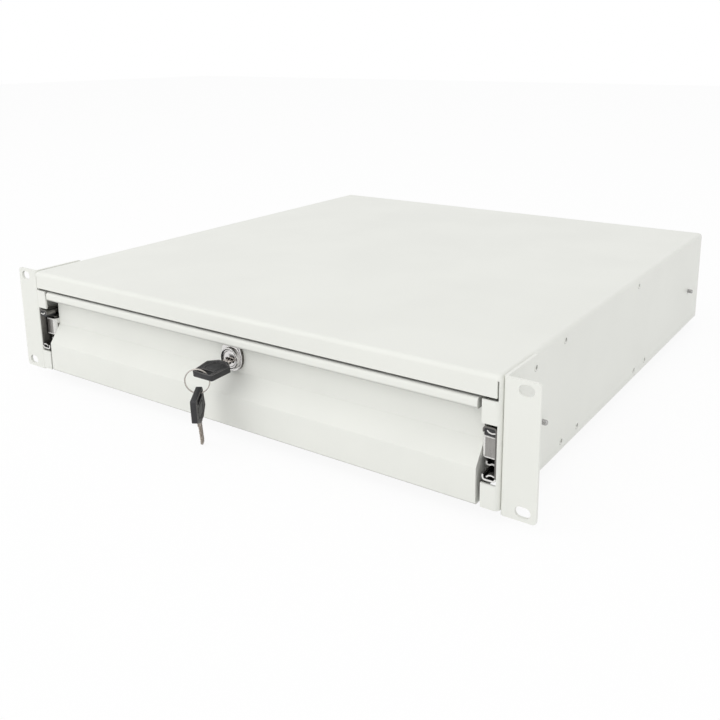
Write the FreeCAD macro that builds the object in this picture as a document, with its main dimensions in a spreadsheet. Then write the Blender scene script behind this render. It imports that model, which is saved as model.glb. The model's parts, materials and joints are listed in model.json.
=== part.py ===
import FreeCAD, Part
import math
import os
import Sketcher

# A lockable sliding drawer for a 19 inch rack, two rack units tall.
# Origin: the middle of the four rack holes, on the front face of the rack ears.
# X runs to the right, Y into the rack and Z up, all in millimetres.

document = FreeCAD.newDocument("rack_drawer")
sizes = document.addObject("Spreadsheet::Sheet", "sizes")

DRIVING_SIZES = {
    # rack ears
    "panel_width": 482.6,
    "panel_height": 88.1,
    "slot_inset": 8.75,
    "rack_pitch_up": 76.2,
    "ear_face": 23.5,
    "slot_long": 10.0,
    "slot_wide": 7.0,
    "ear_thick": 2.0,
    "ear_leg_depth": 46.0,
    "ear_corner": 2.5,
    "ear_rivet_front": 17.0,
    "ear_rivet_back": 42.0,
    "ear_rivet_inset": 8.0,
    # housing, one bent sheet
    "housing_height": 85.7,
    "housing_depth": 459.0,
    "housing_proud": 2.0,
    "sheet_thick": 1.5,
    "bend_outer": 3.5,
    "lip_tall": 14.1,
    "lip_relief": 0.9,
    "strip_wide": 12.3,
    "strip_gap": 2.0,
    "notch_fit": 0.1,
    "notch_margin": 1.75,
    "bottom_flange": 12.0,
    # cross members under and over the drawer
    "brace_front": 94.5,
    "brace_step": 29.4,
    "brace_pitch": 157.2,
    "brace_thick": 1.2,
    "brace_margin": 5.5,
    "brace_rivet_up": 6.9,
    "brace_tab_tall": 12.0,
    "stiffener_rivet_down": 6.1,
    "stiffener_wide": 20.0,
    "stiffener_deep": 3.0,
    "stiffener_tab_tall": 11.0,
    # sides of the small forms that repeat
    "facet_sides": 8,
    # blind rivets
    "rivet_shank": 4.0,
    "rivet_head": 6.4,
    "rivet_head_tall": 0.5,
    "rivet_tail": 3.0,
    # ball bearing slides
    "slide_up": 35.3,
    "slide_tall": 35.0,
    "slide_thick": 12.7,
    "slide_gap": 0.7,
    "spacer_across": 12.0,
    "spacer_play": 0.3,
    "slide_setback": 0.5,
    "slide_back_gap": 8.5,
    "slide_sheet": 1.2,
    "middle_gap": 1.9,
    "middle_tall": 22.4,
    "middle_deep": 7.6,
    "inner_tall": 13.2,
    "inner_deep": 7.3,
    "race_lip": 1.6,
    "race_reach": 9.6,
    "race_play": 0.3,
    "slide_bend": 1.5,
    "ball_count": 2,
    "ball_step": 60.0,
    "cage_start": 120.0,
    "cage_thick": 0.6,
    "cage_fit": 0.1,
    "stop_tab_tall": 13.2,
    "stop_tab_wide": 11.0,
    "stop_tab_bend": 1.8,
    "stop_tab_rise": 2.4,
    "middle_setback": 2.0,
    "middle_lip": 0.9,
    "end_stop_long": 9.0,
    "screw_thread": 4.0,
    "screw_head": 8.0,
    "screw_head_tall": 1.3,
    "outer_screw_front": 57.8,
    "outer_screw_inset": 42.0,
    "outer_screw_out": 4.5,
    "inner_screw_front": 35.0,
    "inner_screw_inset": 42.0,
    "inner_screw_count": 3,
    "inner_screw_in": 2.5,
    # drawer tray
    "tray_sheet": 1.2,
    "tray_back_gap": 20.0,
    "tray_floor_gap": 1.6,
    "tray_top_gap": 21.4,
    "tray_hem": 6.0,
    "tray_bend": 1.8,
    # drawer front
    "front_fit": 0.1,
    "front_proud": 0.6,
    "front_bottom_gap": 0.4,
    "front_sheet": 1.5,
    "recess_deep": 10.6,
    "pull_gap": 2.05,
    "pull_tall": 7.5,
    "recess_tall": 22.4,
    "slope_tall": 15.0,
    "front_corner": 1.6,
    "pull_round": 2.6,
    "front_flange": 15.0,
    "front_screw_up": 10.0,
    "front_screw_inset": 22.9,
    "front_screw_count": 4,
    # cam lock
    "lock_low": 0.5,
    "lock_collar": 20.0,
    "lock_collar_deep": 3.0,
    "lock_ring": 16.8,
    "lock_ring_deep": 2.5,
    "lock_barrel": 16.0,
    "lock_barrel_long": 22.0,
    "lock_fit_wall": 0.2,
    "lock_flat": 13.4,
    "lock_fit": 0.1,
    "plug_across": 11.6,
    "plug_recess": 0.8,
    "nut_across": 22.0,
    "nut_thick": 3.5,
    "cam_thick": 2.0,
    "cam_wide": 12.0,
    "cam_reach": 29.0,
    "cam_screw_head": 10.5,
    "cam_screw_long": 5.5,
    "cam_screw_head_tall": 2.6,
    "cam_screw_shank": 4.0,
    "strike_gap": 0.8,
    "strike_wide": 34.0,
    "strike_tall": 16.0,
    "strike_thick": 1.5,
    # keys and their ring
    "blade_wide": 7.4,
    "blade_thick": 1.9,
    "blade_long": 21.6,
    "blade_in_head": 8.0,
    "blade_fit": 0.15,
    "blade_neck": 6.0,
    "key_drop": 1.1,
    "key_droop": 6.0,
    "head_long": 22.2,
    "head_top": 18.8,
    "head_wide": 22.6,
    "head_widest": 17.0,
    "head_end": 8.4,
    "head_thick": 4.6,
    "head_hole_long": 13.0,
    "head_hole_wide": 4.2,
    "head_bar": 1.5,
    "head_edge": 0.8,
    "ring_across": 17.8,
    "ring_wire": 1.2,
    "ring_yaw": 30.0,
    "ring_shift": 1.8,
    "ring_out": 2.6,
    "ring_play": 0.4,
    "spare_yaw": 31.0,
    "spare_lean": 13.3,
    "spare_shift": 4.5,
}

for row, (alias, size) in enumerate(DRIVING_SIZES.items(), start=1):
    sizes.set(f"A{row}", alias)
    sizes.set(f"B{row}", str(size))
    sizes.setAlias(f"B{row}", alias)
document.recompute()


FACING = {"XY": ("XY_Plane", 1), "XZ": ("XZ_Plane", -1), "YZ": ("YZ_Plane", 1)}


def size(expression):
    """The number that an expression of the sheet's aliases has now."""
    return float(sizes.evalExpression(str(expression)))


def bound(expression):
    """The expression with every alias written as a cell of the sheet."""
    words = []
    word = ""
    for letter in str(expression) + " ":
        if letter.isalnum() or letter in "_.":
            word += letter
            continue
        words.append(f"sizes.{word}" if word in DRIVING_SIZES else word)
        words.append(letter)
        word = ""
    return "".join(words).strip()


def new_body(name):
    """An empty body whose label names the piece."""
    body = document.addObject("PartDesign::Body", "body_" + name)
    body.Label = name
    return body


def new_sketch(body, plane, start):
    """A sketch on one of the body's own planes, moved along the axis to start."""
    role, way = FACING[plane]
    origin_plane = next(item for item in body.Origin.OriginFeatures if item.Role == role)
    sketch = body.newObject("Sketcher::SketchObject", "sketch")
    sketch.AttachmentSupport = [(origin_plane, "")]
    sketch.MapMode = "FlatFace"
    sketch.setExpression("AttachmentOffset.Base.z", f"{way} * ({bound(start)})")
    return sketch


def tie(sketch, kind, *reference, to):
    """A constraint of the sketch whose size follows the sheet."""
    index = sketch.addConstraint(Sketcher.Constraint(kind, *reference, size(to)))
    sketch.setExpression(f"Constraints[{index}]", bound(to))


def tie_point(sketch, edge, end, across, up):
    """Hold one point of the sketch at its distances from the origin."""
    tie(sketch, "DistanceX", -1, 1, edge, end, to=across)
    tie(sketch, "DistanceY", -1, 1, edge, end, to=up)


def draw_outline(sketch, points):
    """A closed outline of straight lines, with every corner tied to the sheet."""
    corners = [FreeCAD.Vector(size(across), size(up), 0) for across, up in points]
    first = sketch.GeometryCount
    for index, corner in enumerate(corners):
        following = corners[(index + 1) % len(corners)]
        sketch.addGeometry(Part.LineSegment(corner, following), False)
    for index, (across, up) in enumerate(points):
        before = first + (index - 1) % len(points)
        sketch.addConstraint(Sketcher.Constraint("Coincident", before, 2, first + index, 1))
        tie_point(sketch, first + index, 1, across, up)


def draw_circle(sketch, across, up, diameter):
    """A circle tied to the sheet."""
    centre = FreeCAD.Vector(size(across), size(up), 0)
    edge = sketch.addGeometry(Part.Circle(centre, FreeCAD.Vector(0, 0, 1), size(diameter) / 2), False)
    tie_point(sketch, edge, 3, across, up)
    tie(sketch, "Diameter", edge, to=diameter)


def draw_slot(sketch, across, up, long, wide):
    """A slot with round ends that lies along the sketch's first axis."""
    reach = f"(({long}) - ({wide})) / 2"
    radius = f"({wide}) / 2"
    ends = [f"({across}) + {reach}", f"({across}) - {reach}"]
    low = size(up) - size(radius)
    high = size(up) + size(radius)
    right, left = size(ends[0]), size(ends[1])
    corners = [FreeCAD.Vector(*place) for place in ((left, high), (right, high), (right, low), (left, low))]
    top = sketch.addGeometry(Part.LineSegment(corners[0], corners[1]), False)
    base = sketch.addGeometry(Part.LineSegment(corners[2], corners[3]), False)
    arcs = []
    for end, turn in zip((right, left), (-math.pi / 2, math.pi / 2)):
        circle = Part.Circle(FreeCAD.Vector(end, size(up), 0), FreeCAD.Vector(0, 0, 1), size(radius))
        arcs.append(sketch.addGeometry(Part.ArcOfCircle(circle, turn, turn + math.pi), False))
    sketch.addConstraint(Sketcher.Constraint("Coincident", top, 2, arcs[0], 2))
    sketch.addConstraint(Sketcher.Constraint("Coincident", arcs[0], 1, base, 1))
    sketch.addConstraint(Sketcher.Constraint("Coincident", base, 2, arcs[1], 2))
    sketch.addConstraint(Sketcher.Constraint("Coincident", arcs[1], 1, top, 1))
    for arc, end in zip(arcs, ends):
        tie_point(sketch, arc, 3, end, up)
        tie(sketch, "Radius", arc, to=radius)
        sketch.addConstraint(Sketcher.Constraint("Vertical", arc, 1, arc, 3))
        sketch.addConstraint(Sketcher.Constraint("Vertical", arc, 2, arc, 3))


def extrude(body, plane, start, length, outlines=(), circles=(), slots=(), cut=False):
    """Add or cut a prism: its sketch lies at start and it runs length along the plane's axis."""
    sketch = new_sketch(body, plane, start)
    for points in outlines:
        draw_outline(sketch, points)
    for circle in circles:
        draw_circle(sketch, *circle)
    for slot in slots:
        draw_slot(sketch, *slot)
    feature = body.newObject("PartDesign::Pocket" if cut else "PartDesign::Pad", "cut" if cut else "pad")
    feature.Profile = sketch
    feature.Length = size(length)
    feature.setExpression("Length", bound(length))
    along_normal = FACING[plane][1] > 0
    feature.Reversed = along_normal if cut else not along_normal
    document.recompute()
    return feature


def box_outline(left, right, low, high):
    """The four corners of a rectangle."""
    return [(left, low), (right, low), (right, high), (left, high)]


def straight_edges(shape, along, **places):
    """Names of the straight edges along one axis whose middle has the given places."""
    axis = FreeCAD.Vector(*(float(letter == along) for letter in "xyz"))
    names = []
    for index, edge in enumerate(shape.Edges, start=1):
        ends = [vertex.Point for vertex in edge.Vertexes]
        if len(ends) != 2 or not isinstance(edge.Curve, (Part.Line, Part.LineSegment)):
            continue
        run = (ends[1] - ends[0]).normalize()
        if abs(run * axis) < 0.999:
            continue
        middle = (ends[0] + ends[1]) / 2
        if all(abs(getattr(middle, letter) - place) < 0.02 for letter, place in places.items()):
            names.append(f"Edge{index}")
    return names


def round_edges(body, radius, *choices):
    """Fillet the straight edges that the choices name: an axis and the places of each."""
    base = body.Tip
    names = []
    for along, places in choices:
        numbers = {letter: size(place) for letter, place in places.items()}
        found = straight_edges(base.Shape, along, **numbers)
        if not found:
            raise ValueError(f"{body.Label}: no edge along {along} at {places}")
        names += found
    fillet = body.newObject("PartDesign::Fillet", "bend")
    fillet.Base = (base, names)
    fillet.Radius = size(radius)
    fillet.setExpression("Radius", bound(radius))
    document.recompute()
    return fillet


# Places that several pieces share, as expressions of the sheet.
HALF = "(panel_width / 2 - ear_face)"
INSIDE = f"({HALF} - sheet_thick)"
TOP = "panel_height / 2"
BOTTOM = f"({TOP} - housing_height)"
FRONT = "(0 - housing_proud)"
BEHIND_FRONT = f"({FRONT} + sheet_thick)"
BACK = f"({FRONT} + housing_depth)"
BEND_INNER = "(bend_outer - sheet_thick)"
LIP_BOTTOM = f"({TOP} - lip_tall)"
STRIP_TOP = f"({LIP_BOTTOM} - strip_gap)"
STRIP_EDGE = f"({HALF} - strip_wide)"
SLIDE_WALL = f"({INSIDE} - slide_gap)"
SLIDE_Z = f"({BOTTOM} + slide_up)"
SLIDE_FRONT = f"({FRONT} + slide_setback)"
SLIDE_LONG = "(housing_depth - slide_setback - slide_back_gap)"
TRAY_BACK = f"({BACK} - tray_back_gap)"
OUTER_SCREWS = ("outer_screw_front", f"({BACK} - outer_screw_inset)")
SIDES = (("left", -1), ("right", 1))
BRACES = (("front", "brace_front"), ("back", "brace_front + brace_pitch"))
BRACE_RIVET_Z = f"({BOTTOM} + brace_rivet_up)"
STIFFENER_RIVET_Z = f"({TOP} - stiffener_rivet_down)"


def make_housing_cover():
    """Top, sides, back, front lip, front strips and bottom flanges, bent from one sheet."""
    body = new_body("housing_cover")
    extrude(body, "XY", BOTTOM, "housing_height", [box_outline(f"0 - {HALF}", HALF, FRONT, BACK)])
    round_edges(
        body, "bend_outer",
        ("y", {"x": f"0 - {HALF}", "z": TOP}), ("y", {"x": HALF, "z": TOP}),
        ("x", {"y": FRONT, "z": TOP}), ("x", {"y": BACK, "z": TOP}),
        ("z", {"x": f"0 - {HALF}", "y": FRONT}), ("z", {"x": HALF, "y": FRONT}),
        ("z", {"x": f"0 - {HALF}", "y": BACK}), ("z", {"x": HALF, "y": BACK}),
    )
    room = box_outline(f"0 - {INSIDE}", INSIDE, BEHIND_FRONT, f"{BACK} - sheet_thick")
    extrude(body, "XY", f"{BOTTOM} + sheet_thick", "housing_height - 2 * sheet_thick", [room], cut=True)
    round_edges(
        body, BEND_INNER,
        ("y", {"x": f"0 - {INSIDE}", "z": f"{TOP} - sheet_thick"}),
        ("y", {"x": INSIDE, "z": f"{TOP} - sheet_thick"}),
        ("x", {"y": BEHIND_FRONT, "z": f"{TOP} - sheet_thick"}),
        ("z", {"x": f"0 - {INSIDE}", "y": BEHIND_FRONT}),
        ("z", {"x": INSIDE, "y": BEHIND_FRONT}),
    )
    flange = f"({HALF} - bottom_flange)"
    floor = box_outline(f"0 - {flange}", flange, f"{FRONT} - 1", f"{BACK} - bottom_flange")
    extrude(body, "XY", f"{BOTTOM} - 1", "sheet_thick + 2", [floor], cut=True)
    # the drawer's doorway between the strips, and the gap over each strip under the lip
    doorway = box_outline(f"0 - {STRIP_EDGE}", STRIP_EDGE, f"{BOTTOM} - 1", LIP_BOTTOM)
    extrude(body, "XZ", f"{FRONT} - 1", "sheet_thick + bend_outer + 1", [doorway], cut=True)
    relief_edge = f"({HALF} - sheet_thick - 0.3)"
    for name, side in SIDES:
        over = box_outline(f"{side} * {STRIP_EDGE}", f"{side} * {relief_edge}", STRIP_TOP, LIP_BOTTOM)
        relief = box_outline(
            f"{side} * ({relief_edge} - lip_relief)", f"{side} * {relief_edge}",
            f"{LIP_BOTTOM}", f"{TOP} - bend_outer",
        )
        notch = box_outline(
            f"{side} * ({STRIP_EDGE} - 1)", f"{side} * ({SLIDE_WALL} + notch_fit)",
            f"{SLIDE_Z} - slide_tall / 2 - notch_margin", f"{SLIDE_Z} + slide_tall / 2 + notch_margin",
        )
        extrude(body, "XZ", f"{FRONT} - 1", "sheet_thick + 1.4", [over], cut=True)
        extrude(body, "XZ", f"{FRONT} - 1", "sheet_thick + 1.4", [relief], cut=True)
        extrude(body, "XZ", f"{FRONT} - 1", "sheet_thick + 2", [notch], cut=True)
    # holes through both side panels for the rivets and for the screws of the slides
    rivets = [("brace_front + brace_step", BRACE_RIVET_Z), ("ear_rivet_front", EAR_RIVET_Z[0])]
    rivets += [("ear_rivet_front", EAR_RIVET_Z[1])]
    rivets += [("ear_rivet_back", height) for height in EAR_RIVET_Z]
    for brace, place in BRACES:
        rivets += [(place, BRACE_RIVET_Z), (place, STIFFENER_RIVET_Z)]
    rivets += [("brace_front + brace_pitch + brace_step", BRACE_RIVET_Z)]
    holes = [(depth, height, "rivet_shank + 0.1") for depth, height in rivets]
    holes += [(depth, SLIDE_Z, "screw_thread + 0.1") for depth in OUTER_SCREWS]
    extrude(body, "YZ", f"0 - {HALF} - 1", f"2 * {HALF} + 2", circles=holes, cut=True)
    return body


EAR_RIVET_Z = (f"({TOP} - ear_rivet_inset)", f"(ear_rivet_inset - {TOP})")


def make_rack_ear(name, side):
    """An angle bracket: its leg lies on the side panel and its face has two slots."""
    body = new_body(f"rack_ear_{name}")
    edge = f"{side} * panel_width / 2"
    inner = f"{side} * {HALF}"
    leg = f"{side} * ({HALF} + ear_thick)"
    angle = [
        (inner, "0"), (edge, "0"), (edge, "ear_thick"), (leg, "ear_thick"),
        (leg, "ear_leg_depth"), (inner, "ear_leg_depth"),
    ]
    extrude(body, "XY", f"0 - {TOP}", "panel_height", [angle])
    round_edges(body, "ear_thick + 0.4", ("z", {"x": inner, "y": "0"}))
    round_edges(body, "0.4", ("z", {"x": leg, "y": "ear_thick"}))
    round_edges(
        body, "ear_corner",
        ("y", {"x": edge, "z": TOP}), ("y", {"x": edge, "z": f"0 - {TOP}"}),
        ("x", {"y": "ear_leg_depth", "z": TOP}), ("x", {"y": "ear_leg_depth", "z": f"0 - {TOP}"}),
    )
    middle = f"{side} * (panel_width / 2 - slot_inset)"
    slots = [(middle, f"{way} * rack_pitch_up / 2", "slot_long", "slot_wide") for way in (-1, 1)]
    extrude(body, "XZ", "-1", "ear_thick + 2", slots=slots, cut=True)
    holes = [(depth, height, "rivet_shank + 0.1") for depth in EAR_RIVET_Y for height in EAR_RIVET_Z]
    start = f"({leg} + {inner}) / 2 - ear_thick / 2 - 0.5"
    extrude(body, "YZ", start, "ear_thick + 1", circles=holes, cut=True)
    return body


EAR_RIVET_Y = ("ear_rivet_front", "ear_rivet_back")

BRACE_FLOOR = f"({BOTTOM} + sheet_thick)"
CEILING = f"({TOP} - sheet_thick)"


def make_brace(name, place):
    """A strap across the bottom flanges with a tab turned up at each end."""
    body = new_body(f"bottom_brace_{name}")
    low = BRACE_FLOOR
    high = f"({low} + brace_tab_tall)"
    wall = f"({INSIDE} - brace_thick)"
    strap = [
        (f"0 - {INSIDE}", low), (INSIDE, low), (INSIDE, high), (wall, high),
        (wall, f"{low} + brace_thick"), (f"0 - {wall}", f"{low} + brace_thick"),
        (f"0 - {wall}", high), (f"0 - {INSIDE}", high),
    ]
    extrude(body, "XZ", f"{place} - brace_margin", "brace_step + 2 * brace_margin", [strap])
    round_edges(
        body, "brace_thick + 0.4",
        ("y", {"x": INSIDE, "z": low}), ("y", {"x": f"0 - {INSIDE}", "z": low}),
    )
    holes = [(place, BRACE_RIVET_Z, "rivet_shank + 0.1")]
    holes += [(f"{place} + brace_step", BRACE_RIVET_Z, "rivet_shank + 0.1")]
    extrude(body, "YZ", f"0 - {HALF}", f"2 * {HALF}", circles=holes, cut=True)
    return body


def make_stiffener(name, place):
    """A channel across the underside of the top, with a tab turned down at each end."""
    body = new_body(f"top_stiffener_{name}")
    wall = f"({INSIDE} - brace_thick)"
    low = f"({CEILING} - stiffener_tab_tall)"
    strap = [
        (f"0 - {INSIDE}", low), (f"0 - {wall}", low), (f"0 - {wall}", f"{CEILING} - brace_thick"),
        (wall, f"{CEILING} - brace_thick"), (wall, low), (INSIDE, low), (INSIDE, CEILING),
        (f"0 - {INSIDE}", CEILING),
    ]
    start = f"({place} - stiffener_wide / 2)"
    extrude(body, "XZ", start, "stiffener_wide", [strap])
    round_edges(
        body, f"{BEND_INNER} + 0.2",
        ("y", {"x": INSIDE, "z": CEILING}), ("y", {"x": f"0 - {INSIDE}", "z": CEILING}),
    )
    web = f"({INSIDE} - stiffener_tab_tall)"
    rib_top = f"{CEILING} - brace_thick"
    rib = box_outline(f"0 - {web}", web, f"{rib_top} - stiffener_deep", rib_top)
    extrude(body, "XZ", start, "brace_thick", [rib])
    extrude(body, "XZ", f"{start} + stiffener_wide - brace_thick", "brace_thick", [rib])
    holes = [(place, STIFFENER_RIVET_Z, "rivet_shank + 0.1")]
    extrude(body, "YZ", f"0 - {HALF}", f"2 * {HALF}", circles=holes, cut=True)
    return body


def new_feature(name, shape):
    """A piece whose shape is worked out from the sheet in code."""
    feature = document.addObject("Part::Feature", name)
    feature.Label = name
    feature.Shape = shape
    return feature


def turned(profile, base, axis):
    """A solid of revolution: the profile's points are (along the axis, radius)."""
    axis = FreeCAD.Vector(axis)
    across = FreeCAD.Vector(0, 0, 1)
    points = [base + axis * along + across * radius for along, radius in profile]
    face = Part.Face(Part.makePolygon(points + points[:1]))
    return face.revolve(base, axis, 360)


def faceted(profile, base, axis):
    """A small closed form with flat sides in place of a solid of revolution, for what repeats.

    The profile starts and ends on the axis, and its points are (along the axis, radius).
    """
    across = axis.cross(FreeCAD.Vector(0, 0, 1)) if abs(axis.z) < 0.5 else FreeCAD.Vector(1, 0, 0)
    count = round(size("facet_sides"))
    turns = [FreeCAD.Rotation(axis, 360 * index / count) for index in range(count)]
    rings = []
    for along, radius in profile:
        centre = base + axis * along
        rings.append([centre + turn.multVec(across) * radius for turn in turns] if radius else [centre])
    faces = []
    for near, far in zip(rings, rings[1:]):
        if len(near) == len(far) == count:
            for index in range(count):
                after = (index + 1) % count
                corners = [near[index], near[after], far[after], far[index]]
                faces.append(Part.Face(Part.makePolygon(corners + corners[:1])))
        else:
            ring = near if len(near) == count else far
            faces.append(Part.Face(Part.makePolygon(ring + ring[:1])))
    return Part.Solid(Part.Shell(faces))


def blind_rivet(base, axis, grip):
    """A rivet: its head sits on base and its shank runs along the axis through the grip."""
    shank = size("rivet_shank / 2")
    head = size("rivet_head / 2")
    tall = size("rivet_head_tall")
    end = grip + size("rivet_tail")
    profile = [(-tall, 0), (-tall, head - tall), (0, head), (0, shank), (end, shank), (end, 0)]
    return faceted(profile, base, axis)


def make_rivets():
    """The rivets that hold the ears, the braces and the stiffeners to the side panels."""
    panel_places = []
    for brace, place in BRACES:
        panel_places += [(place, BRACE_RIVET_Z), (f"{place} + brace_step", BRACE_RIVET_Z)]
        panel_places += [(place, STIFFENER_RIVET_Z)]
    ear_places = [(place, height) for place in EAR_RIVET_Y for height in EAR_RIVET_Z]
    groups = (
        ("ear_rivets", f"{HALF} + ear_thick", "ear_thick + sheet_thick", ear_places),
        ("panel_rivets", HALF, "sheet_thick + brace_thick", panel_places),
    )
    for name, face, grip, places in groups:
        rivets = []
        for side_name, side in SIDES:
            for place, height in places:
                base = FreeCAD.Vector(side * size(face), size(place), size(height))
                rivets.append(blind_rivet(base, FreeCAD.Vector(-side, 0, 0), size(grip)))
        new_feature(name, Part.makeCompound(rivets))


def across_slide(side, depth):
    """The X place at a depth from the side panel's inner face towards the drawer."""
    return f"{side} * ({SLIDE_WALL} - ({depth}))"


def slide_section(side, points):
    """A slide's section: each point is (depth from the panel, height over the slide's axis)."""
    return [(across_slide(side, depth), f"{SLIDE_Z} + ({height})") for depth, height in points]


def channel(near, far, half, lip):
    """A C section of sheet from its web at near to its flange ends at far, with inturned lips."""
    way = "slide_sheet" if size(far) > size(near) else "(0 - slide_sheet)"
    web = f"{near} + {way}"
    end = f"{far} - {way}"
    inner = f"{half} - slide_sheet"
    upper = [(end, f"{inner}"), (end, f"{inner} - {lip}"), (far, f"{inner} - {lip}"), (far, half)]
    lower = [(depth, f"0 - ({height})") for depth, height in reversed(upper)]
    return [(near, f"0 - ({half})")] + lower + [
        (web, f"0 - ({inner})"), (web, inner),
    ] + upper + [(near, half)]


def plain_channel(near, far, half):
    """A C section of sheet without lips."""
    way = "slide_sheet" if size(far) > size(near) else "(0 - slide_sheet)"
    web = f"{near} + {way}"
    inner = f"{half} - slide_sheet"
    return [
        (near, f"0 - ({half})"), (far, f"0 - ({half})"), (far, f"0 - ({inner})"), (web, f"0 - ({inner})"),
        (web, inner), (far, inner), (far, half), (near, half),
    ]


def bend_slide(body, side, radius, corners):
    """Round the long bends of a slide member."""
    choices = []
    for depth, height in corners:
        for way in (-1, 1):
            places = {"x": across_slide(side, depth), "z": f"{SLIDE_Z} + {way} * ({height})"}
            choices.append(("y", places))
    round_edges(body, radius, *choices)


MIDDLE_WEB = "(slide_sheet + middle_gap)"
MIDDLE_END = f"({MIDDLE_WEB} + middle_deep)"
INNER_END = "(slide_thick - inner_deep)"
MIDDLE_START = f"({SLIDE_FRONT} + middle_setback)"


def inner_screw_places():
    """The Y places of the screws that hold a slide to the drawer tray."""
    count = round(size("inner_screw_count"))
    step = f"({TRAY_BACK} - inner_screw_inset - inner_screw_front) / (inner_screw_count - 1)"
    return [f"inner_screw_front + {index} * {step}" for index in range(count)]


def make_slide(name, side):
    """The three members of one ball bearing slide, nested from the panel to the drawer."""
    half = "slide_tall / 2"
    outer = new_body(f"slide_outer_{name}")
    section = slide_section(side, channel("0", "race_reach", half, "race_lip"))
    extrude(outer, "XZ", SLIDE_FRONT, SLIDE_LONG, [section])
    bend_slide(outer, side, "slide_bend", [("0", half), ("race_reach", half)])
    holes = [(place, SLIDE_Z, "screw_thread + 0.1") for place in OUTER_SCREWS]
    start = f"{side} * ({SLIDE_WALL} - slide_sheet / 2) - slide_sheet"
    extrude(outer, "YZ", start, "2 * slide_sheet", circles=holes, cut=True)

    half = "middle_tall / 2"
    middle = new_body(f"slide_middle_{name}")
    section = slide_section(side, channel(MIDDLE_WEB, MIDDLE_END, half, "middle_lip"))
    extrude(middle, "XZ", MIDDLE_START, f"{SLIDE_LONG} - middle_setback", [section])
    bend_slide(middle, side, "slide_bend", [(MIDDLE_WEB, half), (MIDDLE_END, half)])

    half = "inner_tall / 2"
    inner = new_body(f"slide_inner_{name}")
    section = slide_section(side, plain_channel("slide_thick", INNER_END, half))
    extrude(inner, "XZ", MIDDLE_START, f"{SLIDE_LONG} - middle_setback", [section])
    bend_slide(inner, side, "slide_bend", [("slide_thick", half)])
    back = across_slide(side, "slide_thick")
    face = across_slide(side, "slide_thick - slide_sheet")
    end = across_slide(side, "slide_thick - stop_tab_wide")
    tab = [
        (back, f"{MIDDLE_START} + slide_sheet"), (back, SLIDE_FRONT), (end, SLIDE_FRONT),
        (end, f"{SLIDE_FRONT} + slide_sheet"), (face, f"{SLIDE_FRONT} + slide_sheet"),
        (face, f"{MIDDLE_START} + slide_sheet"),
    ]
    extrude(inner, "XY", f"{SLIDE_Z} - stop_tab_tall / 2 + stop_tab_rise", "stop_tab_tall", [tab])
    round_edges(inner, "stop_tab_bend", ("z", {"x": back, "y": SLIDE_FRONT}))
    holes = [(place, SLIDE_Z, "screw_thread + 0.1") for place in inner_screw_places()]
    start = f"{side} * ({SLIDE_WALL} - slide_thick + slide_sheet / 2) - slide_sheet"
    extrude(inner, "YZ", start, "2 * slide_sheet", circles=holes, cut=True)

    stop = new_body(f"slide_end_stop_{name}")
    block = box_outline(
        across_slide(side, "slide_sheet"), across_slide(side, "race_reach - slide_sheet - 0.1"),
        f"{SLIDE_Z} + middle_tall / 2 + 0.5", f"{SLIDE_Z} + slide_tall / 2 - slide_sheet",
    )
    extrude(stop, "XZ", f"{SLIDE_FRONT} + 0.4", "end_stop_long", [block])


def cage_strips(side, near, far, height, ball):
    """Two retainer strips, one over and one under the slide's axis, each with its row of balls."""
    count = round(size("ball_count"))
    start = size("cage_start")
    left = side * (size(SLIDE_WALL) - near)
    right = side * (size(SLIDE_WALL) - far)
    up = FreeCAD.Vector(0, 0, 1)
    flat = ball * math.tan(math.pi / 8)
    rounded = [(-ball, 0), (-ball, flat), (-flat, ball), (flat, ball), (ball, flat), (ball, 0)]
    solids = []
    for way in (-1, 1):
        middle = size(SLIDE_Z) + way * height
        corner = FreeCAD.Vector(min(left, right), start, middle - size("cage_thick / 2"))
        strip = Part.makeBox(abs(right - left), size("ball_step") * count, size("cage_thick"), corner)
        for index in range(count):
            centre = FreeCAD.Vector((left + right) / 2, start + size("ball_step") * (index + 0.5), middle)
            pocket = FreeCAD.Vector(1, 1, 1) * (ball + size("cage_fit"))
            strip = strip.cut(Part.makeBox(2 * pocket.x, 2 * pocket.y, 2 * pocket.z, centre - pocket))
            solids.append(faceted(rounded, centre, up))
        solids.append(strip)
    return solids


def make_cages():
    """The cages between the outer and middle members and between the middle and inner ones."""
    play = size("race_play")
    races = (
        ("outer_ball_cages", "slide_sheet", "race_reach - slide_sheet", "slide_tall / 2 - slide_sheet",
         "middle_tall / 2"),
        ("inner_ball_cages", f"{MIDDLE_WEB} + slide_sheet", f"{MIDDLE_END} - slide_sheet",
         "middle_tall / 2 - slide_sheet", "inner_tall / 2"),
    )
    for name, near, far, over, under in races:
        ball = (size(over) - size(under)) / 2 - play
        height = (size(over) + size(under)) / 2
        solids = []
        for side_name, side in SIDES:
            solids += cage_strips(side, size(near) + play, size(far) - play, height, ball)
        new_feature(name, Part.makeCompound(solids))


def pan_screw(seat, axis, long, head, tall, thread):
    """A pan head screw: the head lies behind the seat and the shank runs along the axis."""
    crown = head * 0.4
    profile = [(-tall, 0), (-tall, crown), (0, head / 2), (0, thread / 2), (long, thread / 2), (long, 0)]
    return faceted(profile, seat, axis)


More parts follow.
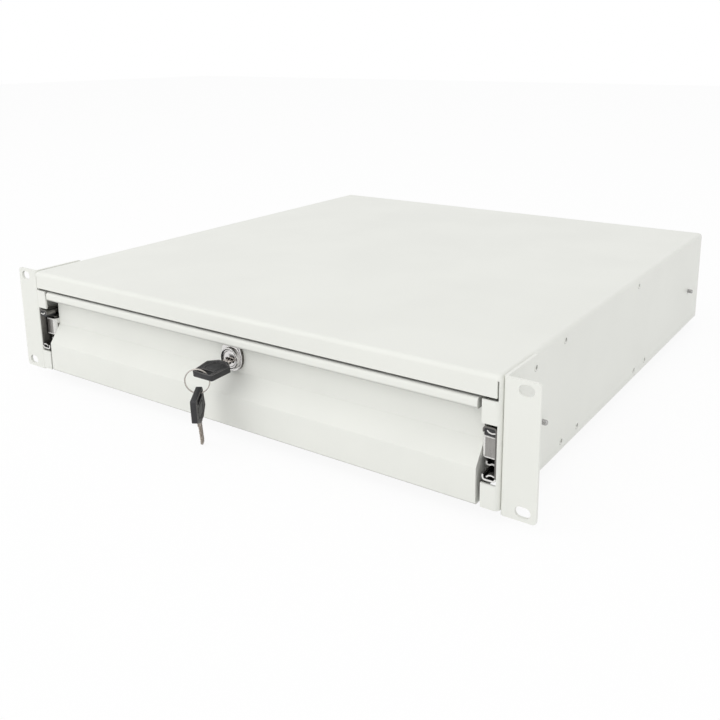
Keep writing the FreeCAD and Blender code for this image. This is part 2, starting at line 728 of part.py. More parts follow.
def make_slide_screws():
    """The screws that hold the slides to the side panels and to the drawer tray."""
    groups = (
        ("outer_slide_screws", 1, f"{SLIDE_WALL} - slide_sheet",
         "slide_sheet + slide_gap + sheet_thick + outer_screw_out",
         OUTER_SCREWS),
        ("inner_slide_screws", -1, f"{SLIDE_WALL} - slide_thick + slide_sheet",
         "slide_sheet + tray_sheet + inner_screw_in", inner_screw_places()),
    )
    for name, way, seat, long, places in groups:
        screws = []
        for side_name, side in SIDES:
            for place in places:
                base = FreeCAD.Vector(side * size(seat), size(place), size(SLIDE_Z))
                axis = FreeCAD.Vector(side * way, 0, 0)
                screws.append(pan_screw(base, axis, size(long), size("screw_head"), size("screw_head_tall"),
                                        size("screw_thread")))
        new_feature(name, Part.makeCompound(screws))


def make_slide_spacers():
    """Flat washers between the side panels and the slides, round the slides' screws."""
    washers = []
    hole = size("screw_thread / 2 + spacer_play")
    rim = size("spacer_across / 2")
    gap = size("slide_gap")
    for side_name, side in SIDES:
        axis = FreeCAD.Vector(side, 0, 0)
        for place in OUTER_SCREWS:
            base = FreeCAD.Vector(side * size(SLIDE_WALL), size(place), size(SLIDE_Z))
            disc, core = [[(0, 0), (0, radius), (gap, radius), (gap, 0)] for radius in (rim, hole)]
            washers.append(faceted(disc, base, axis).cut(faceted(core, base, axis)))
    new_feature("slide_spacers", Part.makeCompound(washers))


TRAY_HALF = f"({SLIDE_WALL} - slide_thick)"
FRONT_HALF = f"({TRAY_HALF} - front_fit)"
TRAY_FLOOR = f"({BRACE_FLOOR} + brace_thick + tray_floor_gap)"
TRAY_TALL = f"({TOP} - tray_top_gap - {TRAY_FLOOR})"
FRONT_FACE = f"({FRONT} - front_proud)"
RECESS_FACE = f"({FRONT_FACE} + recess_deep)"
FRONT_BACK = f"({RECESS_FACE} + front_sheet)"
FRONT_BOTTOM = f"({BOTTOM} + front_bottom_gap)"
PULL_TOP = f"({LIP_BOTTOM} - pull_gap)"
PULL_BOTTOM = f"({PULL_TOP} - pull_tall)"
RECESS_BOTTOM = f"({PULL_BOTTOM} - recess_tall)"
SLOPE_BOTTOM = f"({RECESS_BOTTOM} - slope_tall)"
LOCK_Z = f"(({PULL_BOTTOM} + {RECESS_BOTTOM}) / 2 - lock_low)"
FRONT_SCREW_Z = f"({FRONT_BOTTOM} + front_screw_up)"


def front_screw_places():
    """The X places of the screws that hold the drawer front to the tray."""
    count = round(size("front_screw_count"))
    half = f"({TRAY_HALF} - front_screw_inset)"
    return [f"(2 * {index} / (front_screw_count - 1) - 1) * {half}" for index in range(count)]


def make_tray():
    """An open box of bent sheet whose rims are turned in, with a hole for the lock."""
    body = new_body("drawer_tray")
    outline = box_outline(f"0 - {TRAY_HALF}", TRAY_HALF, FRONT_BACK, TRAY_BACK)
    extrude(body, "XY", TRAY_FLOOR, TRAY_TALL, [outline])
    bends = []
    for place in (FRONT_BACK, TRAY_BACK):
        bends += [("z", {"x": f"{way} * {TRAY_HALF}", "y": place}) for way in (-1, 1)]
        bends += [("x", {"y": place, "z": TRAY_FLOOR})]
    bends += [("y", {"x": f"{way} * {TRAY_HALF}", "z": TRAY_FLOOR}) for way in (-1, 1)]
    round_edges(body, "tray_bend", *bends)
    wall = f"({TRAY_HALF} - tray_sheet)"
    room = box_outline(f"0 - {wall}", wall, f"{FRONT_BACK} + tray_sheet", f"{TRAY_BACK} - tray_sheet")
    extrude(body, "XY", f"{TRAY_FLOOR} + tray_sheet", f"{TRAY_TALL} - 2 * tray_sheet", [room], cut=True)
    rim = f"({TRAY_HALF} - tray_hem)"
    mouth = box_outline(f"0 - {rim}", rim, f"{FRONT_BACK} + tray_hem", f"{TRAY_BACK} - tray_hem")
    extrude(body, "XY", f"{TRAY_FLOOR} + {TRAY_TALL} - tray_sheet - 1", "tray_sheet + 2", [mouth], cut=True)
    screws = [(place, FRONT_SCREW_Z, "screw_thread + 0.1") for place in front_screw_places()]
    lock = [("0", LOCK_Z, "lock_barrel + lock_fit_wall")]
    extrude(body, "XZ", f"{FRONT_BACK} - 1", "tray_sheet + 2", circles=screws + lock, cut=True)
    holes = [(place, SLIDE_Z, "screw_thread + 0.1") for place in inner_screw_places()]
    extrude(body, "YZ", f"0 - {HALF}", f"2 * {HALF}", circles=holes, cut=True)
    return body


def make_front():
    """The drawer front: a rolled pull over a finger recess, then a slope out to the lower face."""
    body = new_body("drawer_front")
    turn = "front_sheet * tan(atan(recess_deep / slope_tall) / 2)"
    outside = [
        (FRONT_BACK, PULL_TOP), (FRONT_FACE, PULL_TOP), (FRONT_FACE, PULL_BOTTOM),
        (RECESS_FACE, PULL_BOTTOM), (RECESS_FACE, RECESS_BOTTOM), (FRONT_FACE, SLOPE_BOTTOM),
        (FRONT_FACE, FRONT_BOTTOM), (FRONT_BACK, FRONT_BOTTOM),
    ]
    inside = [
        (FRONT_BACK, f"{FRONT_BOTTOM} + front_flange"),
        (f"{FRONT_BACK} - front_sheet", f"{FRONT_BOTTOM} + front_flange"),
        (f"{FRONT_BACK} - front_sheet", f"{FRONT_BOTTOM} + front_sheet"),
        (f"{FRONT_FACE} + front_sheet", f"{FRONT_BOTTOM} + front_sheet"),
        (f"{FRONT_FACE} + front_sheet", f"{SLOPE_BOTTOM} - {turn}"),
        (f"{RECESS_FACE} + front_sheet", f"{RECESS_BOTTOM} - {turn}"),
        (f"{RECESS_FACE} + front_sheet", f"{PULL_BOTTOM} + front_sheet"),
        (f"{FRONT_FACE} + front_sheet", f"{PULL_BOTTOM} + front_sheet"),
        (f"{FRONT_FACE} + front_sheet", f"{PULL_TOP} - front_sheet"),
        (FRONT_BACK, f"{PULL_TOP} - front_sheet"),
    ]
    extrude(body, "YZ", f"0 - {FRONT_HALF}", f"2 * {FRONT_HALF}", [outside + inside])
    extrude(body, "YZ", f"0 - {FRONT_HALF}", "front_sheet", [outside])
    extrude(body, "YZ", f"{FRONT_HALF} - front_sheet", "front_sheet", [outside])
    round_edges(
        body, "pull_round",
        ("x", {"y": FRONT_FACE, "z": PULL_TOP}), ("x", {"y": FRONT_FACE, "z": PULL_BOTTOM}),
    )
    round_edges(
        body, "front_corner",
        ("x", {"y": RECESS_FACE, "z": PULL_BOTTOM}), ("x", {"y": RECESS_FACE, "z": RECESS_BOTTOM}),
        ("x", {"y": FRONT_FACE, "z": SLOPE_BOTTOM}), ("x", {"y": FRONT_FACE, "z": FRONT_BOTTOM}),
    )
    screws = [(place, FRONT_SCREW_Z, "screw_thread + 0.1") for place in front_screw_places()]
    extrude(body, "XZ", f"{FRONT_BACK} - front_sheet - 0.5", "front_sheet + 1", circles=screws, cut=True)
    lock = [("0", LOCK_Z, "lock_barrel + lock_fit_wall")]
    extrude(body, "XZ", f"{RECESS_FACE} - 1", "front_sheet + 2", circles=lock, cut=True)
    return body


def make_front_screws():
    """The screws that hold the drawer front to the tray, their heads inside the tray."""
    screws = []
    seat = size(f"{FRONT_BACK} + tray_sheet")
    long = size("tray_sheet + front_sheet + inner_screw_in")
    for place in front_screw_places():
        base = FreeCAD.Vector(size(place), seat, size(FRONT_SCREW_Z))
        forward = FreeCAD.Vector(0, -1, 0)
        screws.append(pan_screw(base, forward, long, size("screw_head"), 2 * size("screw_head_tall"),
                                size("screw_thread")))
    new_feature("drawer_front_screws", Part.makeCompound(screws))


LOCK_FRONT = f"({RECESS_FACE} - lock_collar_deep - lock_ring_deep)"
PLUG_FRONT = f"({LOCK_FRONT} + plug_recess)"
BARREL_END = f"({RECESS_FACE} + lock_barrel_long)"
CAM_FRONT = f"({BARREL_END} + lock_fit_wall)"
CAM_BACK = f"({CAM_FRONT} + cam_thick)"
NUT_FRONT = f"({FRONT_BACK} + tray_sheet)"
KEY_Z = f"({LOCK_Z} - key_drop)"
BLADE_INSIDE = "(blade_long - blade_neck)"


def extrude_at_lock(body, start, length, diameter, cut=False):
    """A round prism on the lock's axis."""
    return extrude(body, "XZ", start, length, circles=[("0", LOCK_Z, diameter)], cut=cut)


def make_lock():
    """The cam lock: its body, nut, turning plug, cam and cam screw."""
    shell = new_body("lock_body")
    extrude_at_lock(shell, LOCK_FRONT, f"{BARREL_END} - {LOCK_FRONT}", "lock_barrel")
    extrude_at_lock(shell, LOCK_FRONT, "lock_ring_deep", "lock_ring")
    collar_front = f"{RECESS_FACE} - lock_collar_deep"
    extrude_at_lock(shell, collar_front, "lock_collar_deep", "lock_collar")
    right = [
        ("lock_collar / 2", LOCK_Z), ("lock_collar / 2", f"{LOCK_Z} + 0.15 * lock_collar"),
        ("0.4 * lock_collar", f"{LOCK_Z} + lock_collar / 2"),
    ]
    left = [(f"0 - {across}", height) for across, height in reversed(right)]
    extrude(shell, "XZ", collar_front, "lock_collar_deep", [right + left])
    for way in (-1, 1):
        near = f"{way} * lock_flat / 2"
        far = f"{way} * lock_barrel"
        side_cut = box_outline(near, far, f"{LOCK_Z} - lock_barrel", f"{LOCK_Z} + lock_barrel")
        extrude(shell, "XZ", NUT_FRONT, f"{BARREL_END} - {NUT_FRONT} + 1", [side_cut], cut=True)
    bore_long = f"{BARREL_END} - {LOCK_FRONT} + 2"
    extrude_at_lock(shell, f"{LOCK_FRONT} - 1", bore_long, "plug_across + 2 * lock_fit", cut=True)

    nut = new_body("lock_nut")
    corner = "nut_across / 2 / cos(30)"
    hexagon = []
    for turn in range(0, 360, 60):
        hexagon.append((f"{corner} * cos({turn})", f"{LOCK_Z} + {corner} * sin({turn})"))
    extrude(nut, "XZ", NUT_FRONT, "nut_thick", [hexagon])
    extrude_at_lock(nut, f"{NUT_FRONT} - 1", "nut_thick + 2", "lock_barrel + lock_fit", cut=True)

    plug = new_body("lock_plug")
    extrude_at_lock(plug, PLUG_FRONT, f"{CAM_FRONT} - {PLUG_FRONT}", "plug_across")
    half = "cam_wide / 3"
    tail = box_outline(f"0 - {half}", half, f"{LOCK_Z} - {half}", f"{LOCK_Z} + {half}")
    extrude(plug, "XZ", CAM_FRONT, "cam_thick", [tail])
    wide = "(blade_wide / 2 + blade_fit)"
    thick = "((blade_thick / 2 + blade_fit) / cos(key_droop))"
    mouth = f"{PLUG_FRONT} - 1"
    mouth_z = f"{KEY_Z} - tan(key_droop)"
    inner_end = f"{PLUG_FRONT} + {BLADE_INSIDE} + 0.5"
    inner_z = f"{KEY_Z} + ({BLADE_INSIDE} + 0.5) * tan(key_droop)"
    keyway = [
        (mouth, f"{mouth_z} - {thick}"), (inner_end, f"{inner_z} - {thick}"),
        (inner_end, f"{inner_z} + {thick}"), (mouth, f"{mouth_z} + {thick}"),
    ]
    extrude(plug, "YZ", f"0 - {wide}", f"2 * {wide}", [keyway], cut=True)
    extrude_at_lock(plug, f"{CAM_BACK} - 6", "7", "cam_screw_shank + 0.1", cut=True)

    cam = new_body("lock_cam")
    extrude(cam, "XZ", CAM_FRONT, "cam_thick", slots=[
        ("cam_wide / 4 - cam_reach / 2", LOCK_Z, "cam_reach + cam_wide / 2", "cam_wide"),
    ])
    half = "(cam_wide / 3 + lock_fit)"
    hole = box_outline(f"0 - {half}", half, f"{LOCK_Z} - {half}", f"{LOCK_Z} + {half}")
    extrude(cam, "XZ", f"{CAM_FRONT} - 1", "cam_thick + 2", [hole], cut=True)

    axis = FreeCAD.Vector(0, -1, 0)
    seat = FreeCAD.Vector(0, size(CAM_BACK), size(LOCK_Z))
    screw = pan_screw(seat, axis, size("cam_screw_long"), size("cam_screw_head"),
                      size("cam_screw_head_tall"), size("cam_screw_shank"))
    new_feature("cam_screw", screw)


def make_strike():
    """The bracket under the top that the cam turns up behind."""
    body = new_body("lock_strike")
    back = f"({CAM_FRONT} - strike_gap)"
    front = f"({back} - strike_thick)"
    foot = f"({back} - 14)"
    angle = [
        (foot, CEILING), (foot, f"{CEILING} - strike_thick"), (front, f"{CEILING} - strike_thick"),
        (front, f"{CEILING} - strike_tall"), (back, f"{CEILING} - strike_tall"), (back, CEILING),
    ]
    extrude(body, "YZ", "0 - strike_wide / 2", "strike_wide", [angle])
    round_edges(body, "strike_thick + 0.3", ("x", {"y": back, "z": CEILING}))
    return body


def place_body(body, base, axes):
    """Move a finished body: its own axes come to lie along the given directions."""
    matrix = FreeCAD.Matrix()
    for column, direction in enumerate(axes, start=1):
        for row, letter in enumerate("xyz", start=1):
            setattr(matrix, f"A{row}{column}", getattr(direction, letter))
    body.Placement = FreeCAD.Placement(base, FreeCAD.Rotation(matrix))
    document.recompute()


def make_key(prefix):
    """One key in its own frame: Y runs from the ring end to the blade, the head lies flat on X."""
    head = new_body(f"{prefix}_head")
    right = [("head_top / 2", "0"), ("head_wide / 2", "head_widest"), ("head_end / 2", "head_long")]
    left = [(f"0 - {across}", along) for across, along in reversed(right)]
    extrude(head, "XY", "0 - head_thick / 2", "head_thick", [right + left])
    round_edges(head, "2 * head_edge", *[("z", {"x": across, "y": along}) for across, along in right + left])
    half = "head_hole_long / 2"
    hole = box_outline(f"0 - {half}", half, "head_bar", "head_bar + head_hole_wide")
    extrude(head, "XY", "0 - head_thick", "2 * head_thick", [hole], cut=True)
    wide = "(blade_wide / 2 + 0.02)"
    thick = "(blade_thick / 2 + 0.02)"
    socket = box_outline(f"0 - {wide}", wide, f"0 - {thick}", thick)
    extrude(head, "XZ", "head_long - blade_in_head", "blade_in_head + 1", [socket], cut=True)

    blade = new_body(f"{prefix}_blade")
    half = "blade_wide / 2"
    tip = "head_long + blade_long"
    outline = [
        (f"0 - {half}", "head_long - blade_in_head"), (half, "head_long - blade_in_head"),
        (half, f"{tip} - blade_wide / 3"), ("blade_wide / 6", tip), ("0 - blade_wide / 6", tip),
        (f"0 - {half}", f"{tip} - blade_wide / 3"),
    ]
    extrude(blade, "XY", "0 - blade_thick / 2", "blade_thick", [outline])
    return head, blade


def make_keys():
    """The key in the lock, the ring through its head and the spare key that hangs from the ring."""
    x_axis = FreeCAD.Vector(1, 0, 0)
    y_axis = FreeCAD.Vector(0, 1, 0)
    z_axis = FreeCAD.Vector(0, 0, 1)
    droop = math.radians(size("key_droop"))
    key_y = FreeCAD.Vector(0, math.cos(droop), math.sin(droop))
    key_z = x_axis.cross(key_y)
    mouth = FreeCAD.Vector(0, size(PLUG_FRONT), size(KEY_Z))
    key_base = mouth - key_y * size("head_long + blade_neck")
    for piece in make_key("key"):
        place_body(piece, key_base, (x_axis, key_y, key_z))

    # the ring stands upright and its top passes through the key's hole, round the bar at its end
    yaw = math.radians(size("ring_yaw"))
    along = FreeCAD.Vector(math.cos(yaw), math.sin(yaw), 0)
    wire = size("ring_wire / 2")
    inner = size("ring_across / 2") - wire
    far_side = size("ring_out + head_bar / 2 / sin(ring_yaw)")
    play = size("ring_play")
    bar = key_base + key_y * size("head_bar / 2") + key_z * size("head_thick / 2")
    ring_z = bar.z + size("head_bar / 2") * math.sin(droop) - math.sqrt(inner ** 2 - far_side ** 2) + play
    centre = FreeCAD.Vector(0 - size("ring_shift"), bar.y, ring_z) - along * size("ring_out")
    flat = wire * math.tan(math.pi / 8)
    mean = size("ring_across / 2")
    section = [(wire, flat), (flat, wire), (-flat, wire), (-wire, flat)]
    section += [(-across, -out) for across, out in section]
    profile = [(across, mean + out) for across, out in section]
    new_feature("key_ring", turned(profile, centre, along.cross(z_axis)))

    # the spare key hangs by one end of its hole from the ring's lowest point, so it leans
    turn = math.radians(size("spare_yaw"))
    lean = math.radians(size("spare_lean"))
    level = FreeCAD.Vector(-math.sin(turn), math.cos(turn), 0)
    across = level * math.cos(lean) + z_axis * math.sin(lean)
    down = level * math.sin(lean) - z_axis * math.cos(lean)
    low = centre - z_axis * (size("ring_across / 2") - wire - play)
    top = low - across * size("spare_shift") - down * size("head_bar")
    for piece in make_key("spare_key"):
        place_body(piece, top, (across, down, across.cross(down)))


PIECE_TYPES = ("PartDesign::Body", "Part::Feature")


def is_sound(item):
    """True where the object and its shape came out whole."""
    if "Invalid" in item.State or "Error" in item.State:
        return False
    return not item.Shape.isNull() and item.Shape.isValid() and len(item.Shape.Solids) > 0


def write_parts():
    """Check every piece of the document, then write each one to its own STEP file."""
    document.recompute()
    os.makedirs("parts", exist_ok=True)
    for item in document.Objects:
        if "Invalid" in item.State or "Error" in item.State:
            raise RuntimeError(f"{item.Label} failed: {item.State}")
    pieces = [item for item in document.Objects if item.TypeId in PIECE_TYPES]
    for piece in pieces:
        if not is_sound(piece):
            raise RuntimeError(f"{piece.Label} has no sound shape")
    for piece in pieces:
        piece.Shape.exportStep(f"parts/{piece.Label}.step")
        box = piece.Shape.BoundBox
        print(
            f"{piece.Label:24s} {len(piece.Shape.Solids):3d} {piece.Shape.Volume:10.1f}"
            f"  x {box.XMin:8.2f} {box.XMax:8.2f}  y {box.YMin:7.2f} {box.YMax:7.2f}"
            f"  z {box.ZMin:7.2f} {box.ZMax:7.2f}"
        )


make_housing_cover()
make_strike()
for side_name, side_way in SIDES:
    make_rack_ear(side_name, side_way)
for brace_name, brace_place in BRACES:
    make_brace(brace_name, brace_place)
    make_stiffener(brace_name, brace_place)
make_rivets()
for side_name, side_way in SIDES:
    make_slide(side_name, side_way)
make_cages()
make_slide_screws()
make_slide_spacers()
make_tray()
make_front()
make_front_screws()
make_lock()
make_keys()
write_parts()
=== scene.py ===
import json
import math

import bmesh
import bpy
from mathutils import Matrix, Vector


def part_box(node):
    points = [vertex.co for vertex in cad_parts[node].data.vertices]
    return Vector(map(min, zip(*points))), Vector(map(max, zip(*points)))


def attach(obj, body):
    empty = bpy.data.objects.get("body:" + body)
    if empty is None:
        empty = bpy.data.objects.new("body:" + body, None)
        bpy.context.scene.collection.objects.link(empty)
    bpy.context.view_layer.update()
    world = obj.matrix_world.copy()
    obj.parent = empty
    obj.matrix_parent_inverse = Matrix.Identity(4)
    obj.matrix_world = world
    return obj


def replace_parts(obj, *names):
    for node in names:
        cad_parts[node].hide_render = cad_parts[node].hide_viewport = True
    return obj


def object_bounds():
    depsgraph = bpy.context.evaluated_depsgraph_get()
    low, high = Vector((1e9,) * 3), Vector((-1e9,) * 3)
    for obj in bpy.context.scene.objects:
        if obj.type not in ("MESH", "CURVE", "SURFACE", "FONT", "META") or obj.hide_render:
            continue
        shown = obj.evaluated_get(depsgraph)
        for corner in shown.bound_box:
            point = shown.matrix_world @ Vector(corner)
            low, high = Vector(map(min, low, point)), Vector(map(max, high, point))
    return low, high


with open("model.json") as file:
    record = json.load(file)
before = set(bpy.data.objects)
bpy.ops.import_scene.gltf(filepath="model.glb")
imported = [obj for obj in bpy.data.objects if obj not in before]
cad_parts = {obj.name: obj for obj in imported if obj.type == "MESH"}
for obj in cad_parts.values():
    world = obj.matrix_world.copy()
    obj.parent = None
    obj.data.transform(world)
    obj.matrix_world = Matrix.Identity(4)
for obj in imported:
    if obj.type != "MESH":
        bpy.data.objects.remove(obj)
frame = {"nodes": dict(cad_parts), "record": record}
cad_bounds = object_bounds()

MM = 0.001

# The colours are written as they are seen, from 0 to 255.
COAT = (233, 234, 228)
ZINC = (178, 177, 175)
# Near-white steel for painted highlights on cut ends and tab edges, and painted light on the tabs' shaded
# inner faces.
PAINTED_HIGHLIGHT_STEEL = (232, 231, 228)
# Dark nickel: painted shade in the lock ring's groove and a painted dark reflection on the collar's side.
NICKEL_PAINTED_SHADE = (112, 109, 106)
NICKEL = (224, 222, 221)
KEY_STEEL = (188, 182, 176)
# A darker copy of the key steel for the spare key's blade: painted shade.
SPARE_BLADE_PAINTED_SHADE = (160, 152, 143)
# Darker than the bare zinc of the tabs: partly the slides' own colour, partly painted shade for the notches
# they sit in.
SLIDE_STEEL_AND_SHADE = (118, 116, 113)
TAB_STEEL = (158, 156, 153)
BLACK = (38, 38, 40)
# A lighter plastic for the softened edges of the key heads: a painted highlight.
PLASTIC_PAINTED_HIGHLIGHT = (104, 101, 99)
FLOOR = (250, 250, 250)

# How dark the painted shade on the coat's undersides is, and how white the floor looks where no shadow
# falls.
UNDERSIDE_PAINTED_SHADE = 0.45
FLOOR_SEEN = 0.92
FLOOR_SIZE = 12.0
FLOOR_GAP = 0.2 * MM
WORLD_LIGHT = 0.7

# Each lamp: its name, place, target, size and power.
LAMPS = (
    ("key", (-0.7, -1.6, 1.8), (0, 0, 0), 3.4, 31),
    ("top", (0, 0.4, 2.0), (0, 0.2, 0), 2.0, 2),
    ("side", (1.8, 0.1, 0.6), (0.2, 0.2, 0), 1.2, 2.5),
)

# The sockets of a Mix node that mixes colours.
MIX_SHARE, MIX_FIRST, MIX_SECOND, MIX_RESULT = 0, 6, 7, 2

# Smooth shading stops where faces meet at more than this angle, in degrees.
SHARP_ANGLE = 35

# The axes of a plate whose outline faces the front: right, up and back.
FRONT_AXES = ((1, 0, 0), (0, 0, 1), (0, 1, 0))

CAMERA_PLACE = (0.4140, -0.4197, 0.2272)
CAMERA_TURN = (76.57, 0.26, 33.68)
CAMERA_LENS = 42.69
CAMERA_SHIFT = (-0.0285, -0.1516)


def as_seen(colour):
    """The linear colour of a colour that is written as it is seen."""
    parts = []
    for value in colour:
        share = value / 255
        parts.append(share / 12.92 if share <= 0.04045 else ((share + 0.055) / 1.055) ** 2.4)
    return (*parts, 1.0)


class Shader:
    """A material's node tree with short calls to add and join its nodes."""

    def __init__(self, name):
        self.material = bpy.data.materials.new(name)
        self.material.use_nodes = True
        self.tree = self.material.node_tree
        self.surface = self.tree.nodes["Principled BSDF"]

    def add(self, kind, **values):
        """A new node. Values that name an input set it, and others set the node's own settings."""
        node = self.tree.nodes.new(kind)
        for name, value in values.items():
            socket = name.replace("_", " ")
            if socket in node.inputs:
                node.inputs[socket].default_value = value
            else:
                setattr(node, name, value)
        return node

    def join(self, source, output, target, entry):
        """Join an output to an input."""
        self.tree.links.new(source.outputs[output], target.inputs[entry])

    def place(self, stretch=(1, 1, 1)):
        """The place on the object, stretched along its axes."""
        coordinates = self.add("ShaderNodeTexCoord")
        mapping = self.add("ShaderNodeMapping")
        mapping.inputs["Scale"].default_value = stretch
        self.join(coordinates, "Object", mapping, "Vector")
        return mapping

    def noise(self, scale, detail=3.0, stretch=(1, 1, 1)):
        """A noise texture of that scale."""
        texture = self.add("ShaderNodeTexNoise", Scale=scale, Detail=detail)
        self.join(self.place(stretch), "Vector", texture, "Vector")
        return texture

    def ramp(self, source, output, stops):
        """A colour ramp over an output. A stop is (place, colour)."""
        ramp = self.add("ShaderNodeValToRGB")
        elements = ramp.color_ramp.elements
        while len(elements) < len(stops):
            elements.new(0.5)
        for element, (place, colour) in zip(elements, stops):
            element.position = place
            element.color = colour
        self.join(source, output, ramp, "Fac")
        return ramp

    def spread(self, source, low, high):
        """A texture's strength, taken to the range from low to high."""
        spread = self.add("ShaderNodeMapRange")
        spread.inputs["From Min"].default_value = 0.3
        spread.inputs["From Max"].default_value = 0.7
        spread.inputs["To Min"].default_value = low
        spread.inputs["To Max"].default_value = high
        self.join(source, "Fac", spread, "Value")
        return spread

    def bump(self, source, strength, distance):
        """The texture raises the surface."""
        bump = self.add("ShaderNodeBump", Strength=strength, Distance=distance)
        self.join(source, "Fac", bump, "Height")
        self.join(bump, "Normal", self.surface, "Normal")


def shade(colour, factor):
    """A linear colour made darker or lighter."""
    return (*(min(1.0, part * factor) for part in colour[:3]), 1.0)


def powder_coat():
    """Light grey powder coat: a fine orange peel, a faint drift of colour and painted shade on its
    undersides.
    """
    shader = Shader("powder_coat")
    colour = as_seen(COAT)
    drift = shader.noise(14.0, 2.0)
    tone = shader.ramp(drift, "Fac", [(0.35, shade(colour, 0.985)), (0.65, shade(colour, 1.01))])
    # Painted shade: faces that look down are mixed towards a darker copy of the coat.
    parts = shader.add("ShaderNodeSeparateXYZ")
    shader.join(shader.add("ShaderNodeNewGeometry"), "Normal", parts, "Vector")
    painted_shade_share = shader.add("ShaderNodeMapRange", From_Min=-0.95, From_Max=-0.1, To_Min=0.0, To_Max=1.0)
    shader.join(parts, "Z", painted_shade_share, "Value")
    mix = shader.add("ShaderNodeMix", data_type="RGBA")
    mix.inputs[MIX_FIRST].default_value = shade(colour, UNDERSIDE_PAINTED_SHADE)
    shader.join(painted_shade_share, "Result", mix, MIX_SHARE)
    shader.join(tone, "Color", mix, MIX_SECOND)
    shader.join(mix, MIX_RESULT, shader.surface, "Base Color")
    peel = shader.noise(900.0, 3.0)
    shader.join(shader.spread(peel, 0.36, 0.46), "Result", shader.surface, "Roughness")
    shader.bump(peel, 0.12, 0.00012)
    shader.surface.inputs["Specular IOR Level"].default_value = 0.35
    return shader.material


def plated_steel(name, colour, roughness, grain, stretch, metallic=1.0):
    """Plated steel with the fine lines of rolling and a drift in its shine."""
    shader = Shader(name)
    colour = as_seen(colour)
    shader.surface.inputs["Metallic"].default_value = metallic
    lines = shader.noise(grain, 4.0, stretch)
    tone = shader.ramp(lines, "Fac", [(0.3, shade(colour, 0.86)), (0.7, shade(colour, 1.06))])
    shader.join(tone, "Color", shader.surface, "Base Color")
    shine = shader.spread(lines, roughness * 0.75, roughness * 1.3)
    shader.join(shine, "Result", shader.surface, "Roughness")
    shader.bump(lines, 0.15, 0.00004)
    return shader.material


def black_plastic(name, seen):
    """Moulded plastic with a fine spark-eroded grain."""
    shader = Shader(name)
    colour = as_seen(seen)
    grain = shader.noise(2200.0, 2.0)
    tone = shader.ramp(grain, "Fac", [(0.3, shade(colour, 0.8)), (0.7, shade(colour, 1.25))])
    shader.join(tone, "Color", shader.surface, "Base Color")
    shader.join(shader.spread(grain, 0.38, 0.5), "Result", shader.surface, "Roughness")
    shader.bump(grain, 0.2, 0.00005)
    return shader.material


def make_materials():
    """Every material by its name."""
    return {
        "powder_coat": powder_coat(),
        "zinc_steel": plated_steel("zinc_steel", ZINC, 0.3, 260.0, (6, 0.4, 6)),
        # Partly painted shade: the slide steel is darker than bare zinc.
        "slide_steel": plated_steel("slide_steel", SLIDE_STEEL_AND_SHADE, 0.34, 260.0, (6, 0.4, 6)),
        # Painted shade: a darker copy of the key steel for the spare's blade.
        "spare_blade_painted_shade": plated_steel("spare_blade_painted_shade", SPARE_BLADE_PAINTED_SHADE, 0.35, 260.0, (3, 3, 3)),
        # Painted highlight: near-white steel for the cut ends and the tab edges.
        "cut_steel_painted_highlight": plated_steel("cut_steel_painted_highlight", PAINTED_HIGHLIGHT_STEEL, 0.4, 300.0, (4, 4, 4), metallic=0.2),
        # Painted shade and painted dark reflection on the lock: a darker copy of the nickel.
        "nickel_painted_shade": plated_steel("nickel_painted_shade", NICKEL_PAINTED_SHADE, 0.3, 300.0, (4, 4, 4)),
        # Painted highlight: a lighter copy of the black plastic for the key heads' edges.
        "plastic_painted_highlight": black_plastic("plastic_painted_highlight", PLASTIC_PAINTED_HIGHLIGHT),
        "tab_steel": plated_steel("tab_steel", TAB_STEEL, 0.3, 300.0, (4, 4, 0.5)),
        "nickel_plate": plated_steel("nickel_plate", NICKEL, 0.16, 500.0, (1, 1, 1)),
        "key_steel": plated_steel("key_steel", KEY_STEEL, 0.26, 600.0, (3, 1, 3)),
        "black_plastic": black_plastic("black_plastic", BLACK),
    }


def paint_frame(materials):
    """Give every CAD node the material of its slot."""
    for part in frame["record"]["subparts"]:
        node = frame["nodes"][part["node"]]
        node.data.materials.clear()
        node.data.materials.append(materials[part["material_slot"]])


def make_camera():
    """The camera that the object is seen with."""
    data = bpy.data.cameras.new("camera")
    camera = bpy.data.objects.new("camera", data)
    bpy.context.collection.objects.link(camera)
    camera.location = CAMERA_PLACE
    camera.rotation_euler = [math.radians(angle) for angle in CAMERA_TURN]
    data.sensor_width = 36.0
    data.lens = CAMERA_LENS
    data.shift_x, data.shift_y = CAMERA_SHIFT
    data.clip_start = 0.01
    data.clip_end = 50.0
    bpy.context.scene.camera = camera


def make_lamp(name, place, target, size, power):
    """A large soft lamp that faces the target."""
    data = bpy.data.lights.new(name, "AREA")
    data.shape = "SQUARE"
    data.size = size
    data.energy = power
    lamp = bpy.data.objects.new(name, data)
    bpy.context.collection.objects.link(lamp)
    lamp.location = place
    lamp.rotation_euler = (Vector(target) - Vector(place)).to_track_quat("-Z", "Y").to_euler()


def seen_white(tree, plain, share):
    """The plain shader, mixed with white for rays from the camera, off mirrors and through clear things."""
    path = tree.nodes.new("ShaderNodeLightPath")
    seen = path.outputs["Is Camera Ray"]
    for kind in ("Is Glossy Ray", "Is Transmission Ray"):
        either = tree.nodes.new("ShaderNodeMath")
        either.operation = "MAXIMUM"
        tree.links.new(seen, either.inputs[0])
        tree.links.new(path.outputs[kind], either.inputs[1])
        seen = either.outputs[0]
    part = tree.nodes.new("ShaderNodeMath")
    part.operation = "MULTIPLY"
    part.inputs[1].default_value = share
    tree.links.new(seen, part.inputs[0])
    white = tree.nodes.new("ShaderNodeEmission")
    mix = tree.nodes.new("ShaderNodeMixShader")
    tree.links.new(part.outputs[0], mix.inputs["Fac"])
    tree.links.new(plain, mix.inputs[1])
    tree.links.new(white.outputs[0], mix.inputs[2])
    return mix


